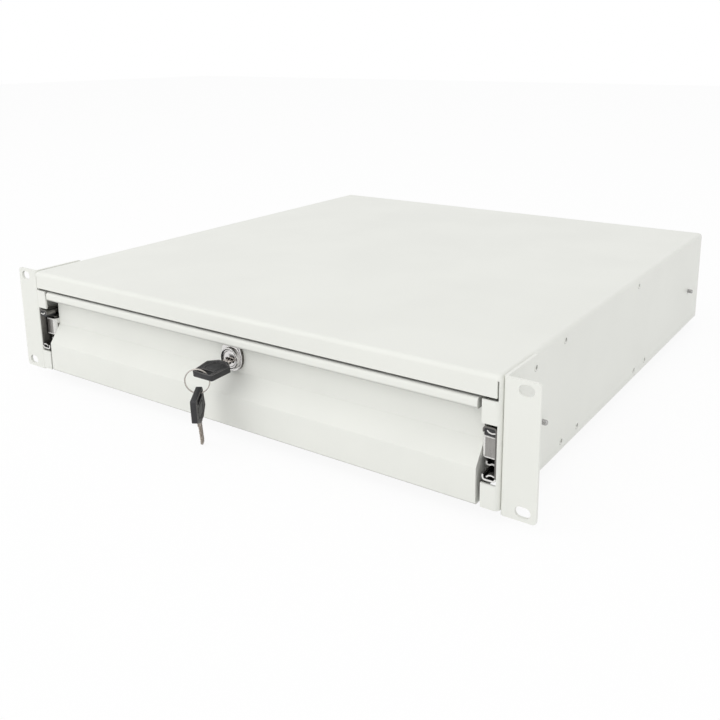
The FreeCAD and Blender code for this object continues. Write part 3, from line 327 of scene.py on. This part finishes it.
def make_studio():
    """A white floor and surround, with soft lamps."""
    place = (0, 0, cad_bounds[0].z - FLOOR_GAP)
    bpy.ops.mesh.primitive_grid_add(x_subdivisions=2, y_subdivisions=2, size=FLOOR_SIZE, location=place)
    floor = bpy.context.object
    floor.name = "floor"
    material = bpy.data.materials.new("floor")
    material.use_nodes = True
    tree = material.node_tree
    surface = tree.nodes["Principled BSDF"]
    surface.inputs["Base Color"].default_value = as_seen(FLOOR)
    surface.inputs["Roughness"].default_value = 0.9
    mix = seen_white(tree, surface.outputs[0], FLOOR_SEEN)
    tree.links.new(mix.outputs[0], tree.nodes["Material Output"].inputs["Surface"])
    floor.data.materials.append(material)

    world = bpy.data.worlds.new("world")
    bpy.context.scene.world = world
    world.use_nodes = True
    tree = world.node_tree
    surround = tree.nodes["Background"]
    surround.inputs["Color"].default_value = (1, 1, 1, 1)
    surround.inputs["Strength"].default_value = WORLD_LIGHT
    mix = seen_white(tree, surround.outputs[0], 1.0)
    tree.links.new(mix.outputs[0], tree.nodes["World Output"].inputs["Surface"])

    for lamp in LAMPS:
        make_lamp(*lamp)


def rounded(points, radius, steps=6):
    """An outline with its corners rounded. A point may bring its own radius as a third number."""
    outline = []
    for index, point in enumerate(points):
        here = Vector(point[:2])
        own = point[2] if len(point) > 2 else radius
        if not own:
            outline.append(here)
            continue
        before = (Vector(points[index - 1][:2]) - here).normalized()
        after = (Vector(points[(index + 1) % len(points)][:2]) - here).normalized()
        half = before.angle(after) / 2
        reach = own / math.tan(half)
        centre = here + (before + after).normalized() * (own / math.sin(half))
        start = here + before * reach - centre
        end = here + after * reach - centre
        turn = start.angle_signed(end)
        for step in range(steps + 1):
            outline.append(centre + Matrix.Rotation(-turn * step / steps, 2) @ start)
    return outline


def circle(radius, centre=(0, 0), steps=48):
    """The points of a circle."""
    points = []
    for index in range(steps):
        turn = 2 * math.pi * index / steps
        points.append(Vector((centre[0] + radius * math.cos(turn), centre[1] + radius * math.sin(turn))))
    return points


def finish_piece(name, mesh, material, body, sharp=SHARP_ANGLE):
    """An object from the mesh, smooth up to the sharp angle, that rides on the body."""
    for polygon in mesh.polygons:
        polygon.use_smooth = True
    mesh.set_sharp_from_angle(angle=math.radians(sharp))
    piece = bpy.data.objects.new(name, mesh)
    bpy.context.collection.objects.link(piece)
    piece.data.materials.clear()
    piece.data.materials.append(materials[material])
    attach(piece, body)
    return piece


def plate(name, outlines, low, high, material, body, axes=None, edge=0.0, origin=(0, 0, 0)):
    """A plate with softened edges: the first outline is its rim and the others are holes.

    The outlines lie in the first two axes, and low and high are places along the third.
    """
    curve = bpy.data.curves.new(name, "CURVE")
    curve.dimensions = "2D"
    curve.fill_mode = "BOTH"
    curve.extrude = (high - low) / 2 - edge
    curve.bevel_depth = edge
    curve.bevel_resolution = 2
    curve.offset = -edge
    for outline in outlines:
        spline = curve.splines.new("POLY")
        spline.points.add(len(outline) - 1)
        for point, place in zip(spline.points, outline):
            point.co = (place[0], place[1], 0, 1)
        spline.use_cyclic_u = True
    holder = bpy.data.objects.new(name + ".curve", curve)
    mesh = bpy.data.meshes.new_from_object(holder)
    bpy.data.objects.remove(holder)
    bpy.data.curves.remove(curve)
    turn = Matrix.Identity(4)
    for column, axis in enumerate(axes or ((1, 0, 0), (0, 1, 0), (0, 0, 1))):
        turn.col[column][:3] = axis
    mesh.transform(Matrix.Translation(origin) @ turn @ Matrix.Translation((0, 0, (low + high) / 2)))
    if turn.determinant() < 0:
        mesh.flip_normals()
    mesh.name = name
    return finish_piece(name, weld(mesh), material, body)


def weld(mesh):
    """The mesh with its doubled points joined."""
    work = bmesh.new()
    work.from_mesh(mesh)
    bmesh.ops.remove_doubles(work, verts=work.verts, dist=0.005 * MM)
    bmesh.ops.recalc_face_normals(work, faces=work.faces)
    work.to_mesh(mesh)
    work.free()
    return mesh


def lathe(name, profile, base, axis, material, body, sides=56):
    """A turned piece. The profile's points are (along the axis, radius)."""
    work = bmesh.new()
    add_lathe(work, profile, Vector(base), Vector(axis), sides)
    mesh = bpy.data.meshes.new(name)
    work.to_mesh(mesh)
    work.free()
    return finish_piece(name, weld(mesh), material, body)


def add_lathe(work, profile, base, axis, sides):
    """Add a turned form to the mesh that is being built."""
    axis = axis.normalized()
    across = axis.orthogonal().normalized()
    other = axis.cross(across)
    rings = []
    for along, radius in profile:
        centre = base + axis * along
        if radius <= 0:
            rings.append([work.verts.new(centre)])
            continue
        turns = [2 * math.pi * index / sides for index in range(sides)]
        outward = [across * math.cos(turn) + other * math.sin(turn) for turn in turns]
        rings.append([work.verts.new(centre + way * radius) for way in outward])
    closed = profile[0][1] > 0
    pairs = list(zip(rings, rings[1:]))
    if closed:
        pairs.append((rings[-1], rings[0]))
    for near, far in pairs:
        for index in range(sides):
            after = (index + 1) % sides
            corners = []
            for ring, place in ((near, index), (near, after), (far, after), (far, index)):
                vertex = ring[place % len(ring)]
                if vertex not in corners:
                    corners.append(vertex)
            if len(corners) > 2:
                work.faces.new(corners)


def middle_of(node):
    """The middle of a CAD node's box."""
    low, high = (Vector(corner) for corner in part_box(node))
    return (low + high) / 2


def merge(name, pieces):
    """One object from several that ride on the same body, each face with its own material."""
    work = bmesh.new()
    slots = []
    for piece in pieces:
        start = len(work.faces)
        work.from_mesh(piece.data)
        work.faces.ensure_lookup_table()
        for face in work.faces[start:]:
            material = piece.data.materials[face.material_index]
            if material not in slots:
                slots.append(material)
            face.material_index = slots.index(material)
    mesh = bpy.data.meshes.new(name)
    work.to_mesh(mesh)
    work.free()
    for material in slots:
        mesh.materials.append(material)
    old = [piece.data for piece in pieces]
    pieces[0].data = mesh
    for piece in pieces[1:]:
        bpy.data.objects.remove(piece)
    for data in old:
        bpy.data.meshes.remove(data)
    for polygon in mesh.polygons:
        polygon.use_smooth = True
    mesh.set_sharp_from_angle(angle=math.radians(SHARP_ANGLE))
    pieces[0].name = name
    return pieces[0]


# Sizes of the keys. A key's own frame runs from its ring end along its blade, and its head lies flat.
HEAD_LONG = 22.2 * MM
HEAD_TOP = 9.4 * MM
HEAD_WIDE = 11.3 * MM
HEAD_WIDEST = 17.0 * MM
HEAD_END = 4.2 * MM
HEAD_HALF = 2.3 * MM
HEAD_SKIN = 1.9 * MM
HEAD_RIM = 1.7 * MM
HEAD_BAR = 1.5 * MM
HEAD_HOLE = (6.5 * MM, 4.2 * MM)
BLADE_LONG = 21.6 * MM
BLADE_NECK = 6.0 * MM
BLADE_HALF = 3.65 * MM
BLADE_THICK = 0.93 * MM
KEY_DROP = 1.1 * MM
KEY_DROOP = math.radians(6)
RING_YAW = math.radians(30)
RING_WIRE = 1.2 * MM
SPARE_YAW = math.radians(31)
SPARE_LEAN = math.radians(13.3)
SPARE_SHIFT = 4.5 * MM
RING_PLAY = 0.4 * MM
# The softened edges of a head are the faces whose slant to its flat, as a cosine, lies between these; they
# get a painted highlight.
EDGE_SLANT = (0.45, 0.92)


def head_outline(inset):
    """The outline of a key head, drawn in by the inset."""
    top, wide, end = HEAD_TOP - inset, HEAD_WIDE - inset * 1.02, HEAD_END - inset * 0.5
    widest = HEAD_WIDEST - inset * 0.3
    right = [(top, inset), (wide, widest), (end, HEAD_LONG - inset)]
    left = [(-across, along) for across, along in reversed(right)]
    return rounded(right + left, max(0.6 * MM, 1.6 * MM - inset * 0.4))


def cut_edge(side, start, end):
    """One edge of a blade from start to end, with the cuts that work the lock's wafers."""
    depths = [0.5, 1.5, 0.9, 1.9, 0.7, 1.3, 0.4]
    if side < 0:
        depths = depths[::-1]
    pitch = (end - start) / len(depths)
    edge = []
    for index, depth in enumerate(depths):
        for share in (0.2, 0.55):
            edge.append((side * (BLADE_HALF - depth * MM), start + pitch * (index + share)))
        edge.append((side * (BLADE_HALF - 0.15 * MM), start + pitch * (index + 0.9)))
    return edge


def make_key(name, body, origin, axes, nodes, steel):
    """A key: a black head with a raised rim, painted highlights on its softened edges and a hole, and a cut
    steel blade.
    """
    half, wide = HEAD_HOLE
    hole = [(-half, HEAD_BAR), (half, HEAD_BAR), (half, HEAD_BAR + wide), (-half, HEAD_BAR + wide)]
    hole = rounded(hole, 0.8 * MM)
    place = {"body": body, "axes": axes, "origin": origin}
    skin = plate(
        name + "_skin", [head_outline(0.4 * MM), hole], -HEAD_SKIN, HEAD_SKIN, "black_plastic",
        edge=0.15 * MM, **place,
    )
    rim = plate(
        name + "_rim", [head_outline(0), head_outline(HEAD_RIM)], -HEAD_HALF, HEAD_HALF, "black_plastic",
        edge=0.5 * MM, **place,
    )
    bridge = [
        (-half - 1.3 * MM, 0.5 * MM), (half + 1.3 * MM, 0.5 * MM),
        (half + 1.3 * MM, HEAD_BAR + wide + 1.2 * MM), (-half - 1.3 * MM, HEAD_BAR + wide + 1.2 * MM),
    ]
    bridge = plate(
        name + "_bridge", [rounded(bridge, 1.2 * MM), hole], -HEAD_HALF, HEAD_HALF, "black_plastic",
        edge=0.35 * MM, **place,
    )
    frames = []
    for inset in (0, 0.6 * MM):
        near, far = HEAD_BAR + wide + 2.6 * MM + inset, HEAD_LONG - 3.4 * MM - inset
        near_wide, far_wide = 6.4 * MM - inset, 4.9 * MM - inset
        panel = [(-near_wide, near), (near_wide, near), (far_wide, far), (-far_wide, far)]
        frames.append(rounded(panel, 1.4 * MM - inset))
    proud = HEAD_SKIN + 0.3 * MM
    frame_line = plate(name + "_frame", frames, -proud, proud, "black_plastic", edge=0.15 * MM, **place)
    # Painted highlight: the softened edges of the rim, bridge and frame get the lighter plastic.
    normal = axes[2].normalized()
    for piece in (rim, bridge, frame_line):
        piece.data.materials.append(materials["plastic_painted_highlight"])
        for polygon in piece.data.polygons:
            if EDGE_SLANT[0] < abs(polygon.normal.dot(normal)) < EDGE_SLANT[1]:
                polygon.material_index = 1
    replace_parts(merge(name + "_grip", [skin, rim, bridge, frame_line]), nodes[0])

    start = HEAD_LONG - 6 * MM
    end = HEAD_LONG + BLADE_LONG
    shoulder = HEAD_LONG + 3.6 * MM
    tip = end - 2.2 * MM
    right = [(BLADE_HALF, start), (BLADE_HALF, shoulder), *cut_edge(1, shoulder, tip)]
    left = [(-BLADE_HALF, start), (-BLADE_HALF, shoulder), *cut_edge(-1, shoulder, tip)]
    outline = right + [(1.2 * MM, end), (-1.2 * MM, end)] + left[::-1]
    pieces = [plate(name + "_web", [outline], -0.55 * MM, 0.55 * MM, steel, edge=0.08 * MM, **place)]
    for side in (-1, 1):
        rail = [(side * 0.8 * MM, start), (side * 1.7 * MM, start), (side * 1.7 * MM, end - 1.6 * MM),
                (side * 0.8 * MM, end - 1.0 * MM)]
        pieces.append(plate(
            f"{name}_rail_{side}", [rail], -BLADE_THICK, BLADE_THICK, steel, edge=0.1 * MM, **place,
        ))
    neck = [(-BLADE_HALF, start), (BLADE_HALF, start), (BLADE_HALF, shoulder), (-BLADE_HALF, shoulder)]
    pieces.append(plate(name + "_neck", [neck], -BLADE_THICK, BLADE_THICK, steel, edge=0.12 * MM, **place))
    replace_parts(merge(name + "_cut_blade", pieces), nodes[1])


def make_keys():
    """The key in the lock and the spare key on the ring."""
    right, up = Vector((1, 0, 0)), Vector((0, 0, 1))
    along = Vector((0, math.cos(KEY_DROOP), math.sin(KEY_DROOP)))
    mouth = Vector((0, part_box("lock_plug")[0][1], middle_of("lock_plug").z - KEY_DROP))
    origin = mouth - along * (HEAD_LONG + BLADE_NECK)
    make_key(
        "lock_key", "lock_cylinder", origin, (right, along, right.cross(along)),
        ("key_head", "key_blade"), "key_steel",
    )

    level = Vector((-math.sin(SPARE_YAW), math.cos(SPARE_YAW), 0))
    across = level * math.cos(SPARE_LEAN) + up * math.sin(SPARE_LEAN)
    down = level * math.sin(SPARE_LEAN) - up * math.cos(SPARE_LEAN)
    low = Vector((*middle_of("key_ring").xy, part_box("key_ring")[0][2] + RING_WIRE + RING_PLAY))
    origin = low - across * SPARE_SHIFT - down * HEAD_BAR
    # The spare's blade gets the darker copy of the key steel: painted shade.
    make_key(
        "spare", "spare_key", origin, (across, down, across.cross(down)),
        ("spare_key_head", "spare_key_blade"), "spare_blade_painted_shade",
    )


def make_ring():
    """A split ring: two flat turns of steel wire side by side, with the step from one to the other."""
    low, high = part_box("key_ring")
    centre = middle_of("key_ring")
    outer = (high[2] - low[2]) / 2
    mean = outer - RING_WIRE / 2
    along = Vector((math.cos(RING_YAW), math.sin(RING_YAW), 0))
    side = Vector((-math.sin(RING_YAW), math.cos(RING_YAW), 0))
    up = Vector((0, 0, 1))
    lane = 0.3 * MM
    thick = (0.28 * MM, 0.42 * MM)
    steps = 120
    corners = 10
    wire_end = math.radians(200)
    cross_start, cross_span = 0.92, 0.16
    work = bmesh.new()
    rings = []
    for step in range(2 * steps + 1):
        turn = 2 * math.pi * step / steps + wire_end
        drift = min(1.0, max(0.0, (step / steps - cross_start) / cross_span))
        shift = lane * (2 * (3 * drift ** 2 - 2 * drift ** 3) - 1)
        outward = along * math.cos(turn) + up * math.sin(turn)
        middle = centre + outward * mean + side * shift
        section = []
        for corner in range(corners):
            angle = 2 * math.pi * corner / corners
            place = outward * math.sin(angle) * thick[1] + side * math.cos(angle) * thick[0]
            section.append(work.verts.new(middle + place))
        rings.append(section)
    for near, far in zip(rings, rings[1:]):
        for index in range(corners):
            after = (index + 1) % corners
            work.faces.new((near[index], near[after], far[after], far[index]))
    work.faces.new(rings[0])
    work.faces.new(rings[-1])
    mesh = bpy.data.meshes.new("split_ring")
    bmesh.ops.recalc_face_normals(work, faces=work.faces)
    work.to_mesh(mesh)
    work.free()
    ring = finish_piece("split_ring", mesh, "key_steel", "ring", sharp=60)
    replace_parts(ring, "key_ring")


def make_lock():
    """The cam lock: collar, front ring, threaded barrel, and the plug with its keyway."""
    low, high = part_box("lock_body")
    axis_z = middle_of("lock_plug").z
    collar_front = low[1] + 2.5 * MM
    collar_back = low[1] + 5.5 * MM
    radius = (high[0] - low[0]) / 2
    right = [(radius, 0, 0), (radius, 0.3 * radius, 2 * MM), (0.8 * radius, radius, 0.9 * MM)]
    outline = rounded(right + [(-across, *rest) for across, *rest in reversed(right)], 0)
    for step in range(1, 24):
        turn = math.pi * (1 + step / 24)
        outline.append((radius * math.cos(turn), radius * math.sin(turn)))
    collar = plate(
        "lock_collar", [outline, circle(6.5 * MM)], collar_front, collar_back, "nickel_plate",
        "drawer", axes=FRONT_AXES, edge=0.7 * MM, origin=(0, 0, axis_z),
    )
    bore = 5.9 * MM
    rim = 8.4 * MM
    front = [
        (1.1 * MM, bore), (0.8 * MM, bore + 0.2 * MM), (0.6 * MM, rim - 1.55 * MM),
        (1.7 * MM, rim - 1.5 * MM), (1.7 * MM, rim - 0.95 * MM), (0.15 * MM, rim - 0.85 * MM),
        (0, rim - 0.6 * MM), (0.15 * MM, rim - 0.2 * MM), (0.5 * MM, rim), (1.9 * MM, rim),
        (2.3 * MM, rim - 0.35 * MM), (2.7 * MM, rim - 0.35 * MM), (2.7 * MM, bore),
    ]
    ring = lathe("lock_ring", front, (0, low[1], axis_z), (0, 1, 0), "nickel_plate", "drawer", sides=96)
    middle = Vector((0, axis_z))
    # Painted shade: the deep faces of the ring's groove get dark nickel, and the side of the collar gets it
    # as a painted dark reflection.
    painted_shade_places = ((ring, rim - 1.6 * MM, rim - 0.8 * MM), (collar, rim + 0.2 * MM, 2 * rim))
    for piece, nearest, farthest in painted_shade_places:
        piece.data.materials.append(materials["nickel_painted_shade"])
        for polygon in piece.data.polygons:
            out = (polygon.center.xz - middle).length
            deep = piece is ring and polygon.center.y > low[1] + 1.6 * MM
            if nearest < out < farthest and (deep or abs(polygon.normal.y) < 0.6):
                polygon.material_index = 1
    barrel_end = high[1] - low[1]
    thread = 8.0 * MM
    pitch = 1.0 * MM
    profile = [(5.0 * MM, bore), (5.0 * MM, thread)]
    along = 7.6 * MM
    while along < barrel_end - pitch:
        profile += [(along, thread), (along + pitch / 2, thread - 0.5 * MM)]
        along += pitch
    profile += [
        (barrel_end - 0.5 * MM, thread - 0.3 * MM), (barrel_end, thread - 0.8 * MM), (barrel_end, bore),
    ]
    barrel = lathe("lock_barrel", profile, (0, low[1], axis_z), (0, 1, 0), "nickel_plate", "drawer")
    flat_half = 6.7 * MM
    for vertex in barrel.data.vertices:
        if vertex.co.y > low[1] + 12.4 * MM:
            vertex.co.x = max(-flat_half, min(flat_half, vertex.co.x))
    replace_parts(merge("cam_lock_shell", [ring, collar, barrel]), "lock_body")

    low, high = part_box("lock_plug")
    plug_radius = 5.75 * MM
    keyway = [
        (-4.1, -2.5), (4.1, -2.5), (4.1, 0.1), (3.2, 0.6), (2.4, 0.1), (1.6, 0.9), (0.7, 0.2), (-0.3, 1.0),
        (-1.2, 0.3), (-2.0, 1.1), (-2.9, 0.4), (-3.5, 0.8), (-4.1, 0.2),
    ]
    keyway = [(across * MM, height * MM) for across, height in keyway]
    face = plate(
        "plug_face", [circle(plug_radius, steps=72), keyway], low[1], low[1] + 16 * MM, "nickel_plate",
        "lock_cylinder", axes=FRONT_AXES, edge=0.35 * MM, origin=(0, 0, axis_z),
    )
    tail_long = high[1] - low[1]
    tail = [(15.8 * MM, 0), (15.8 * MM, plug_radius), (tail_long - 2.2 * MM, plug_radius),
            (tail_long - 2.2 * MM, 3.9 * MM), (tail_long, 3.9 * MM), (tail_long, 0)]
    tail = lathe("plug_tail", tail, (0, low[1], axis_z), (0, 1, 0), "nickel_plate", "lock_cylinder")
    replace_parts(merge("cam_lock_plug", [face, tail]), "lock_plug")


def sheet_outline(path, radius, thick):
    """The outline of a bent strip of sheet, from the path of its middle line."""
    line = [Vector(path[0])]
    for before, here, after in zip(path, path[1:], path[2:]):
        line += rounded([before, (*here, radius), after], 0)[1:-1]
    line.append(Vector(path[-1]))
    left, right = [], []
    for index, place in enumerate(line):
        before = line[max(0, index - 1)]
        after = line[min(len(line) - 1, index + 1)]
        run = (after - before).normalized()
        across = Vector((-run.y, run.x)) * thick / 2
        left.append(place + across)
        right.append(place - across)
    return left + right[::-1]


# Sections of the slide's members: (depth from the outer member's back, height over the axis), in mm.
OUTER_PATH = [(8.9, 13.6), (9.0, 16.9), (0.6, 16.9), (0.6, -16.9), (9.0, -16.9), (8.9, -13.6)]
MIDDLE_PATH = [
    (9.6, 8.4), (10.1, 10.6), (7.6, 10.6), (5.9, 9.7), (3.7, 10.4),
    (3.7, -10.4), (5.9, -9.7), (7.6, -10.6), (10.1, -10.6), (9.6, -8.4),
]
INNER_PATH = [(5.6, 5.4), (7.2, 6.0), (12.1, 6.0), (12.1, -6.0), (7.2, -6.0), (5.6, -5.4)]
SLIDE_SHEET = 1.15
TAB_TALL = 14.0 * MM
TAB_BURR = 0.8 * MM

# How far the front of each form lies behind the front of its CAD node, in mm.
TAB_SETBACK = 4.7
INNER_SETBACK = 7.4
MIDDLE_SETBACK = 5.0

# The painted highlight on the cut ends of each member reaches up to this height over the axis, in mm.
OUTER_LIT, MIDDLE_LIT, INNER_LIT = -12, -7.5, -4.5


def paint_highlight_on_ends(piece, lowest, highest):
    """Give the cut ends of a slide member, between two heights, a painted highlight in the near-white of
    sheared steel.
    """
    piece.data.materials.append(materials["cut_steel_painted_highlight"])
    for polygon in piece.data.polygons:
        if abs(polygon.normal.y) > 0.35 and lowest <= polygon.center.z <= highest:
            polygon.material_index = 1


def make_slide_member(node, body, side, path, radius, axis_z, wall, start, lit):
    """One bent member of a slide, from the start behind its CAD node's front to the node's back."""
    low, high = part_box(node)
    outline = sheet_outline(path, radius, SLIDE_SHEET)
    places = [(side * (wall - depth * MM), height * MM) for depth, height in outline]
    piece = plate(
        node + "_form", [places], low[1] + start * MM, high[1], "slide_steel", body,
        axes=FRONT_AXES, edge=0.2 * MM, origin=(0, 0, axis_z),
    )
    paint_highlight_on_ends(piece, low[2], axis_z + lit * MM)
    return piece


def make_inner_member(side_name, side, axis_z, wall):
    """The inner member, with the stop tab that its web bends into at the front."""
    node = "slide_inner_" + side_name
    low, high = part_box(node)
    channel = make_slide_member(
        node, "drawer", side, INNER_PATH, 1.2, axis_z, wall, INNER_SETBACK, INNER_LIT,
    )
    face_y = low[1] / MM + TAB_SETBACK + SLIDE_SHEET / 2
    bend = sheet_outline([(12.1, face_y + 24), (12.1, face_y), (2.7, face_y)], 3.2, SLIDE_SHEET)
    bend = [(side * (wall - depth * MM), y * MM) for depth, y in bend]
    bottom, top, burr = high[2] - TAB_TALL, high[2], TAB_BURR
    tab = plate(node + "_tab", [bend], bottom + burr, top - burr, "tab_steel", "drawer")
    # Painted light: the tab's inward faces, which lie in shade, get the near-white steel.
    tab.data.materials.append(materials["cut_steel_painted_highlight"])
    for polygon in tab.data.polygons:
        if polygon.normal.x * side < -0.25:
            polygon.material_index = 1
    # Painted highlight: the tab's top and bottom edges are near-white steel.
    edges = [
        plate(node + "_edge", [bend], start, start + burr, "cut_steel_painted_highlight", "drawer", edge=0.1 * MM)
        for start in (bottom, top - burr)
    ]
    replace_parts(merge(node + "_form", [channel, tab, *edges]), node)


def make_tongues(side, axis_z, wall, front):
    """The two curved tongues at the mouth of the outer member that stop its ball cages."""
    tongues = []
    for way in (-1, 1):
        path = [(1.0, 13.9), (3.4, 13.4), (5.2, 13.8), (6.6, 15.0)]
        outline = sheet_outline(path, 1.2, 0.9)
        outline = [(side * (wall - depth * MM), way * height * MM) for depth, height in outline]
        tongue = plate(
            "tongue", [outline], front + 0.2 * MM, front + 5 * MM, "slide_steel", "housing",
            axes=FRONT_AXES, edge=0.15 * MM, origin=(0, 0, axis_z),
        )
        # Painted highlight on the tongue's cut ends.
        paint_highlight_on_ends(tongue, -1, 1)
        tongues.append(tongue)
    return tongues


def make_slides():
    """The three members of both slides."""
    for side_name, side in (("left", -1), ("right", 1)):
        node = "slide_outer_" + side_name
        low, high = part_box(node)
        axis_z = (low[2] + high[2]) / 2
        wall = max(abs(low[0]), abs(high[0]))
        outer = make_slide_member(node, "housing", side, OUTER_PATH, 1.8, axis_z, wall, 0, OUTER_LIT)
        tongues = make_tongues(side, axis_z, wall, low[1])
        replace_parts(merge(node + "_form", [outer, *tongues]), node)
        node = "slide_middle_" + side_name
        middle = make_slide_member(
            node, "middle_member_" + side_name, side, MIDDLE_PATH, 0.9, axis_z, wall,
            MIDDLE_SETBACK, MIDDLE_LIT,
        )
        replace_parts(middle, node)
        make_inner_member(side_name, side, axis_z, wall)


# Each race: its name, the depth and height of its balls, the radius of a ball and of its pocket, and
# the reach of the retainer strip, in mm.
RACES = (
    ("outer", 4.8, 13.75, 2.2, 2.2, (1.6, 8.0)),
    ("inner", 6.9, 8.3, 1.35, 1.45, (4.7, 9.1)),
)
BALLS_IN_ROW = 12


def make_balls():
    """Full rows of steel balls in the retainer strips of both races."""
    low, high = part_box("slide_outer_right")
    axis_z = (low[2] + high[2]) / 2
    wall = max(abs(low[0]), abs(high[0]))
    for name, depth, height, radius, pocket, reach in RACES:
        body, node = name + "_cages", name + "_ball_cages"
        start, end = (corner[1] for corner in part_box(node))
        step = (end - start) / BALLS_IN_ROW
        rows = [start + step * (index + 0.5) for index in range(BALLS_IN_ROW)]
        balls = bmesh.new()
        strips = []
        for side in (-1, 1):
            for way in (-1, 1):
                z = axis_z + way * height * MM
                x = side * (wall - depth * MM)
                for y in rows:
                    bmesh.ops.create_uvsphere(
                        balls, u_segments=20, v_segments=12, radius=radius * MM,
                        matrix=Matrix.Translation((x, y, z)),
                    )
                near, far = sorted(side * (wall - place * MM) for place in reach)
                outline = [(near, start), (far, start), (far, end), (near, end)]
                pockets = [circle(pocket * MM, (x, y), steps=20) for y in rows]
                strips.append(plate(
                    f"{name}_strip_{side}_{way}", [rounded(outline, 0.6 * MM), *pockets],
                    z - 0.3 * MM, z + 0.3 * MM, "zinc_steel", body, edge=0.08 * MM,
                ))
        mesh = bpy.data.meshes.new(name + "_balls")
        balls.to_mesh(mesh)
        balls.free()
        ball_rows = finish_piece(name + "_balls", mesh, "nickel_plate", body, sharp=60)
        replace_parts(merge(name + "_cage_strips", strips), node)
        ball_rows.name = name + "_ball_rows"


def shell_boxes(node):
    """The low and high corners of each closed shell of a CAD node."""
    work = bmesh.new()
    work.from_mesh(frame["nodes"][node].data)
    bmesh.ops.remove_doubles(work, verts=work.verts, dist=0.02 * MM)
    left = set(work.verts)
    boxes = []
    while left:
        shell, queue = set(), [left.pop()]
        while queue:
            vertex = queue.pop()
            shell.add(vertex)
            for edge in vertex.link_edges:
                other = edge.other_vert(vertex)
                if other in left:
                    left.discard(other)
                    queue.append(other)
        lows = [min(vertex.co[axis] for vertex in shell) for axis in range(3)]
        highs = [max(vertex.co[axis] for vertex in shell) for axis in range(3)]
        boxes.append((Vector(lows), Vector(highs)))
    work.free()
    return boxes


def make_rivets():
    """Hollow rivets, painted over with the housing: a low dome round a dark bore."""
    head, bore, shank, tail = 3.0 * MM, 1.5 * MM, 1.9 * MM, 2.5 * MM
    for node in ("ear_rivets", "panel_rivets"):
        forms = []
        for low, high in shell_boxes(node):
            side = 1 if high.x > 0 else -1
            outside = high.x if side > 0 else low.x
            inside = low.x if side > 0 else high.x
            long = abs(outside - inside)
            middle = (low + high) / 2
            profile = [
                (0.1 * MM, bore), (0, bore + 0.3 * MM), (0.05 * MM, head * 0.7),
                (0.25 * MM, head * 0.93), (0.5 * MM, head), (0.5 * MM, shank),
                (long - 2.2 * MM, shank), (long - 1.8 * MM, tail), (long - 0.6 * MM, tail),
                (long, shank), (long, bore),
            ]
            base = (outside, middle.y, middle.z)
            forms.append(lathe(
                node + "_form", profile, base, (-side, 0, 0), "powder_coat", "housing", sides=32,
            ))
        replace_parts(merge(node + "_form", forms), node)


def threaded(profile, start, end, radius, pitch):
    """The profile with the ridges of a thread added from start to end."""
    along = start
    while along < end - pitch:
        profile += [(along, radius - 0.28 * MM), (along + pitch / 2, radius)]
        along += pitch
    profile += [(end - 0.4 * MM, radius - 0.28 * MM), (end, radius - 0.7 * MM), (end, 0)]
    return profile


def make_screws():
    """Pan head screws with threads, for the slides and the drawer front."""
    groups = (
        ("outer_slide_screws", "housing", 0, 1), ("inner_slide_screws", "drawer", 0, -1),
        ("drawer_front_screws", "drawer", 1, -1),
    )
    for node, body, axis_index, way in groups:
        forms = []
        for low, high in shell_boxes(node):
            middle = (low + high) / 2
            side = 1 if middle.x > 0 else -1
            axis = Vector((side * way, 0, 0)) if axis_index == 0 else Vector((0, -1, 0))
            long = (high - low)[axis_index]
            head_tall = 1.3 * MM if axis_index == 0 else 2.6 * MM
            base = middle - axis * long / 2
            profile = [(0.5 * MM, 0), (0.5 * MM, 0.9 * MM), (0.05 * MM, 1.0 * MM), (0, 2.2 * MM)]
            profile += [(head_tall * 0.35, 3.3 * MM), (head_tall * 0.75, 3.85 * MM), (head_tall, 3.9 * MM)]
            profile += [(head_tall, 1.95 * MM)]
            profile = threaded(profile, head_tall + 0.4 * MM, long, 1.97 * MM, 0.7 * MM)
            forms.append(lathe(node + "_form", profile, base, axis, "zinc_steel", body, sides=32))
        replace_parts(merge(node + "_form", forms), node)


bpy.context.scene.view_settings.view_transform = "Standard"
materials = make_materials()
paint_frame(materials)
make_keys()
make_ring()
make_lock()
make_slides()
make_balls()
make_rivets()
make_screws()
make_camera()
make_studio()
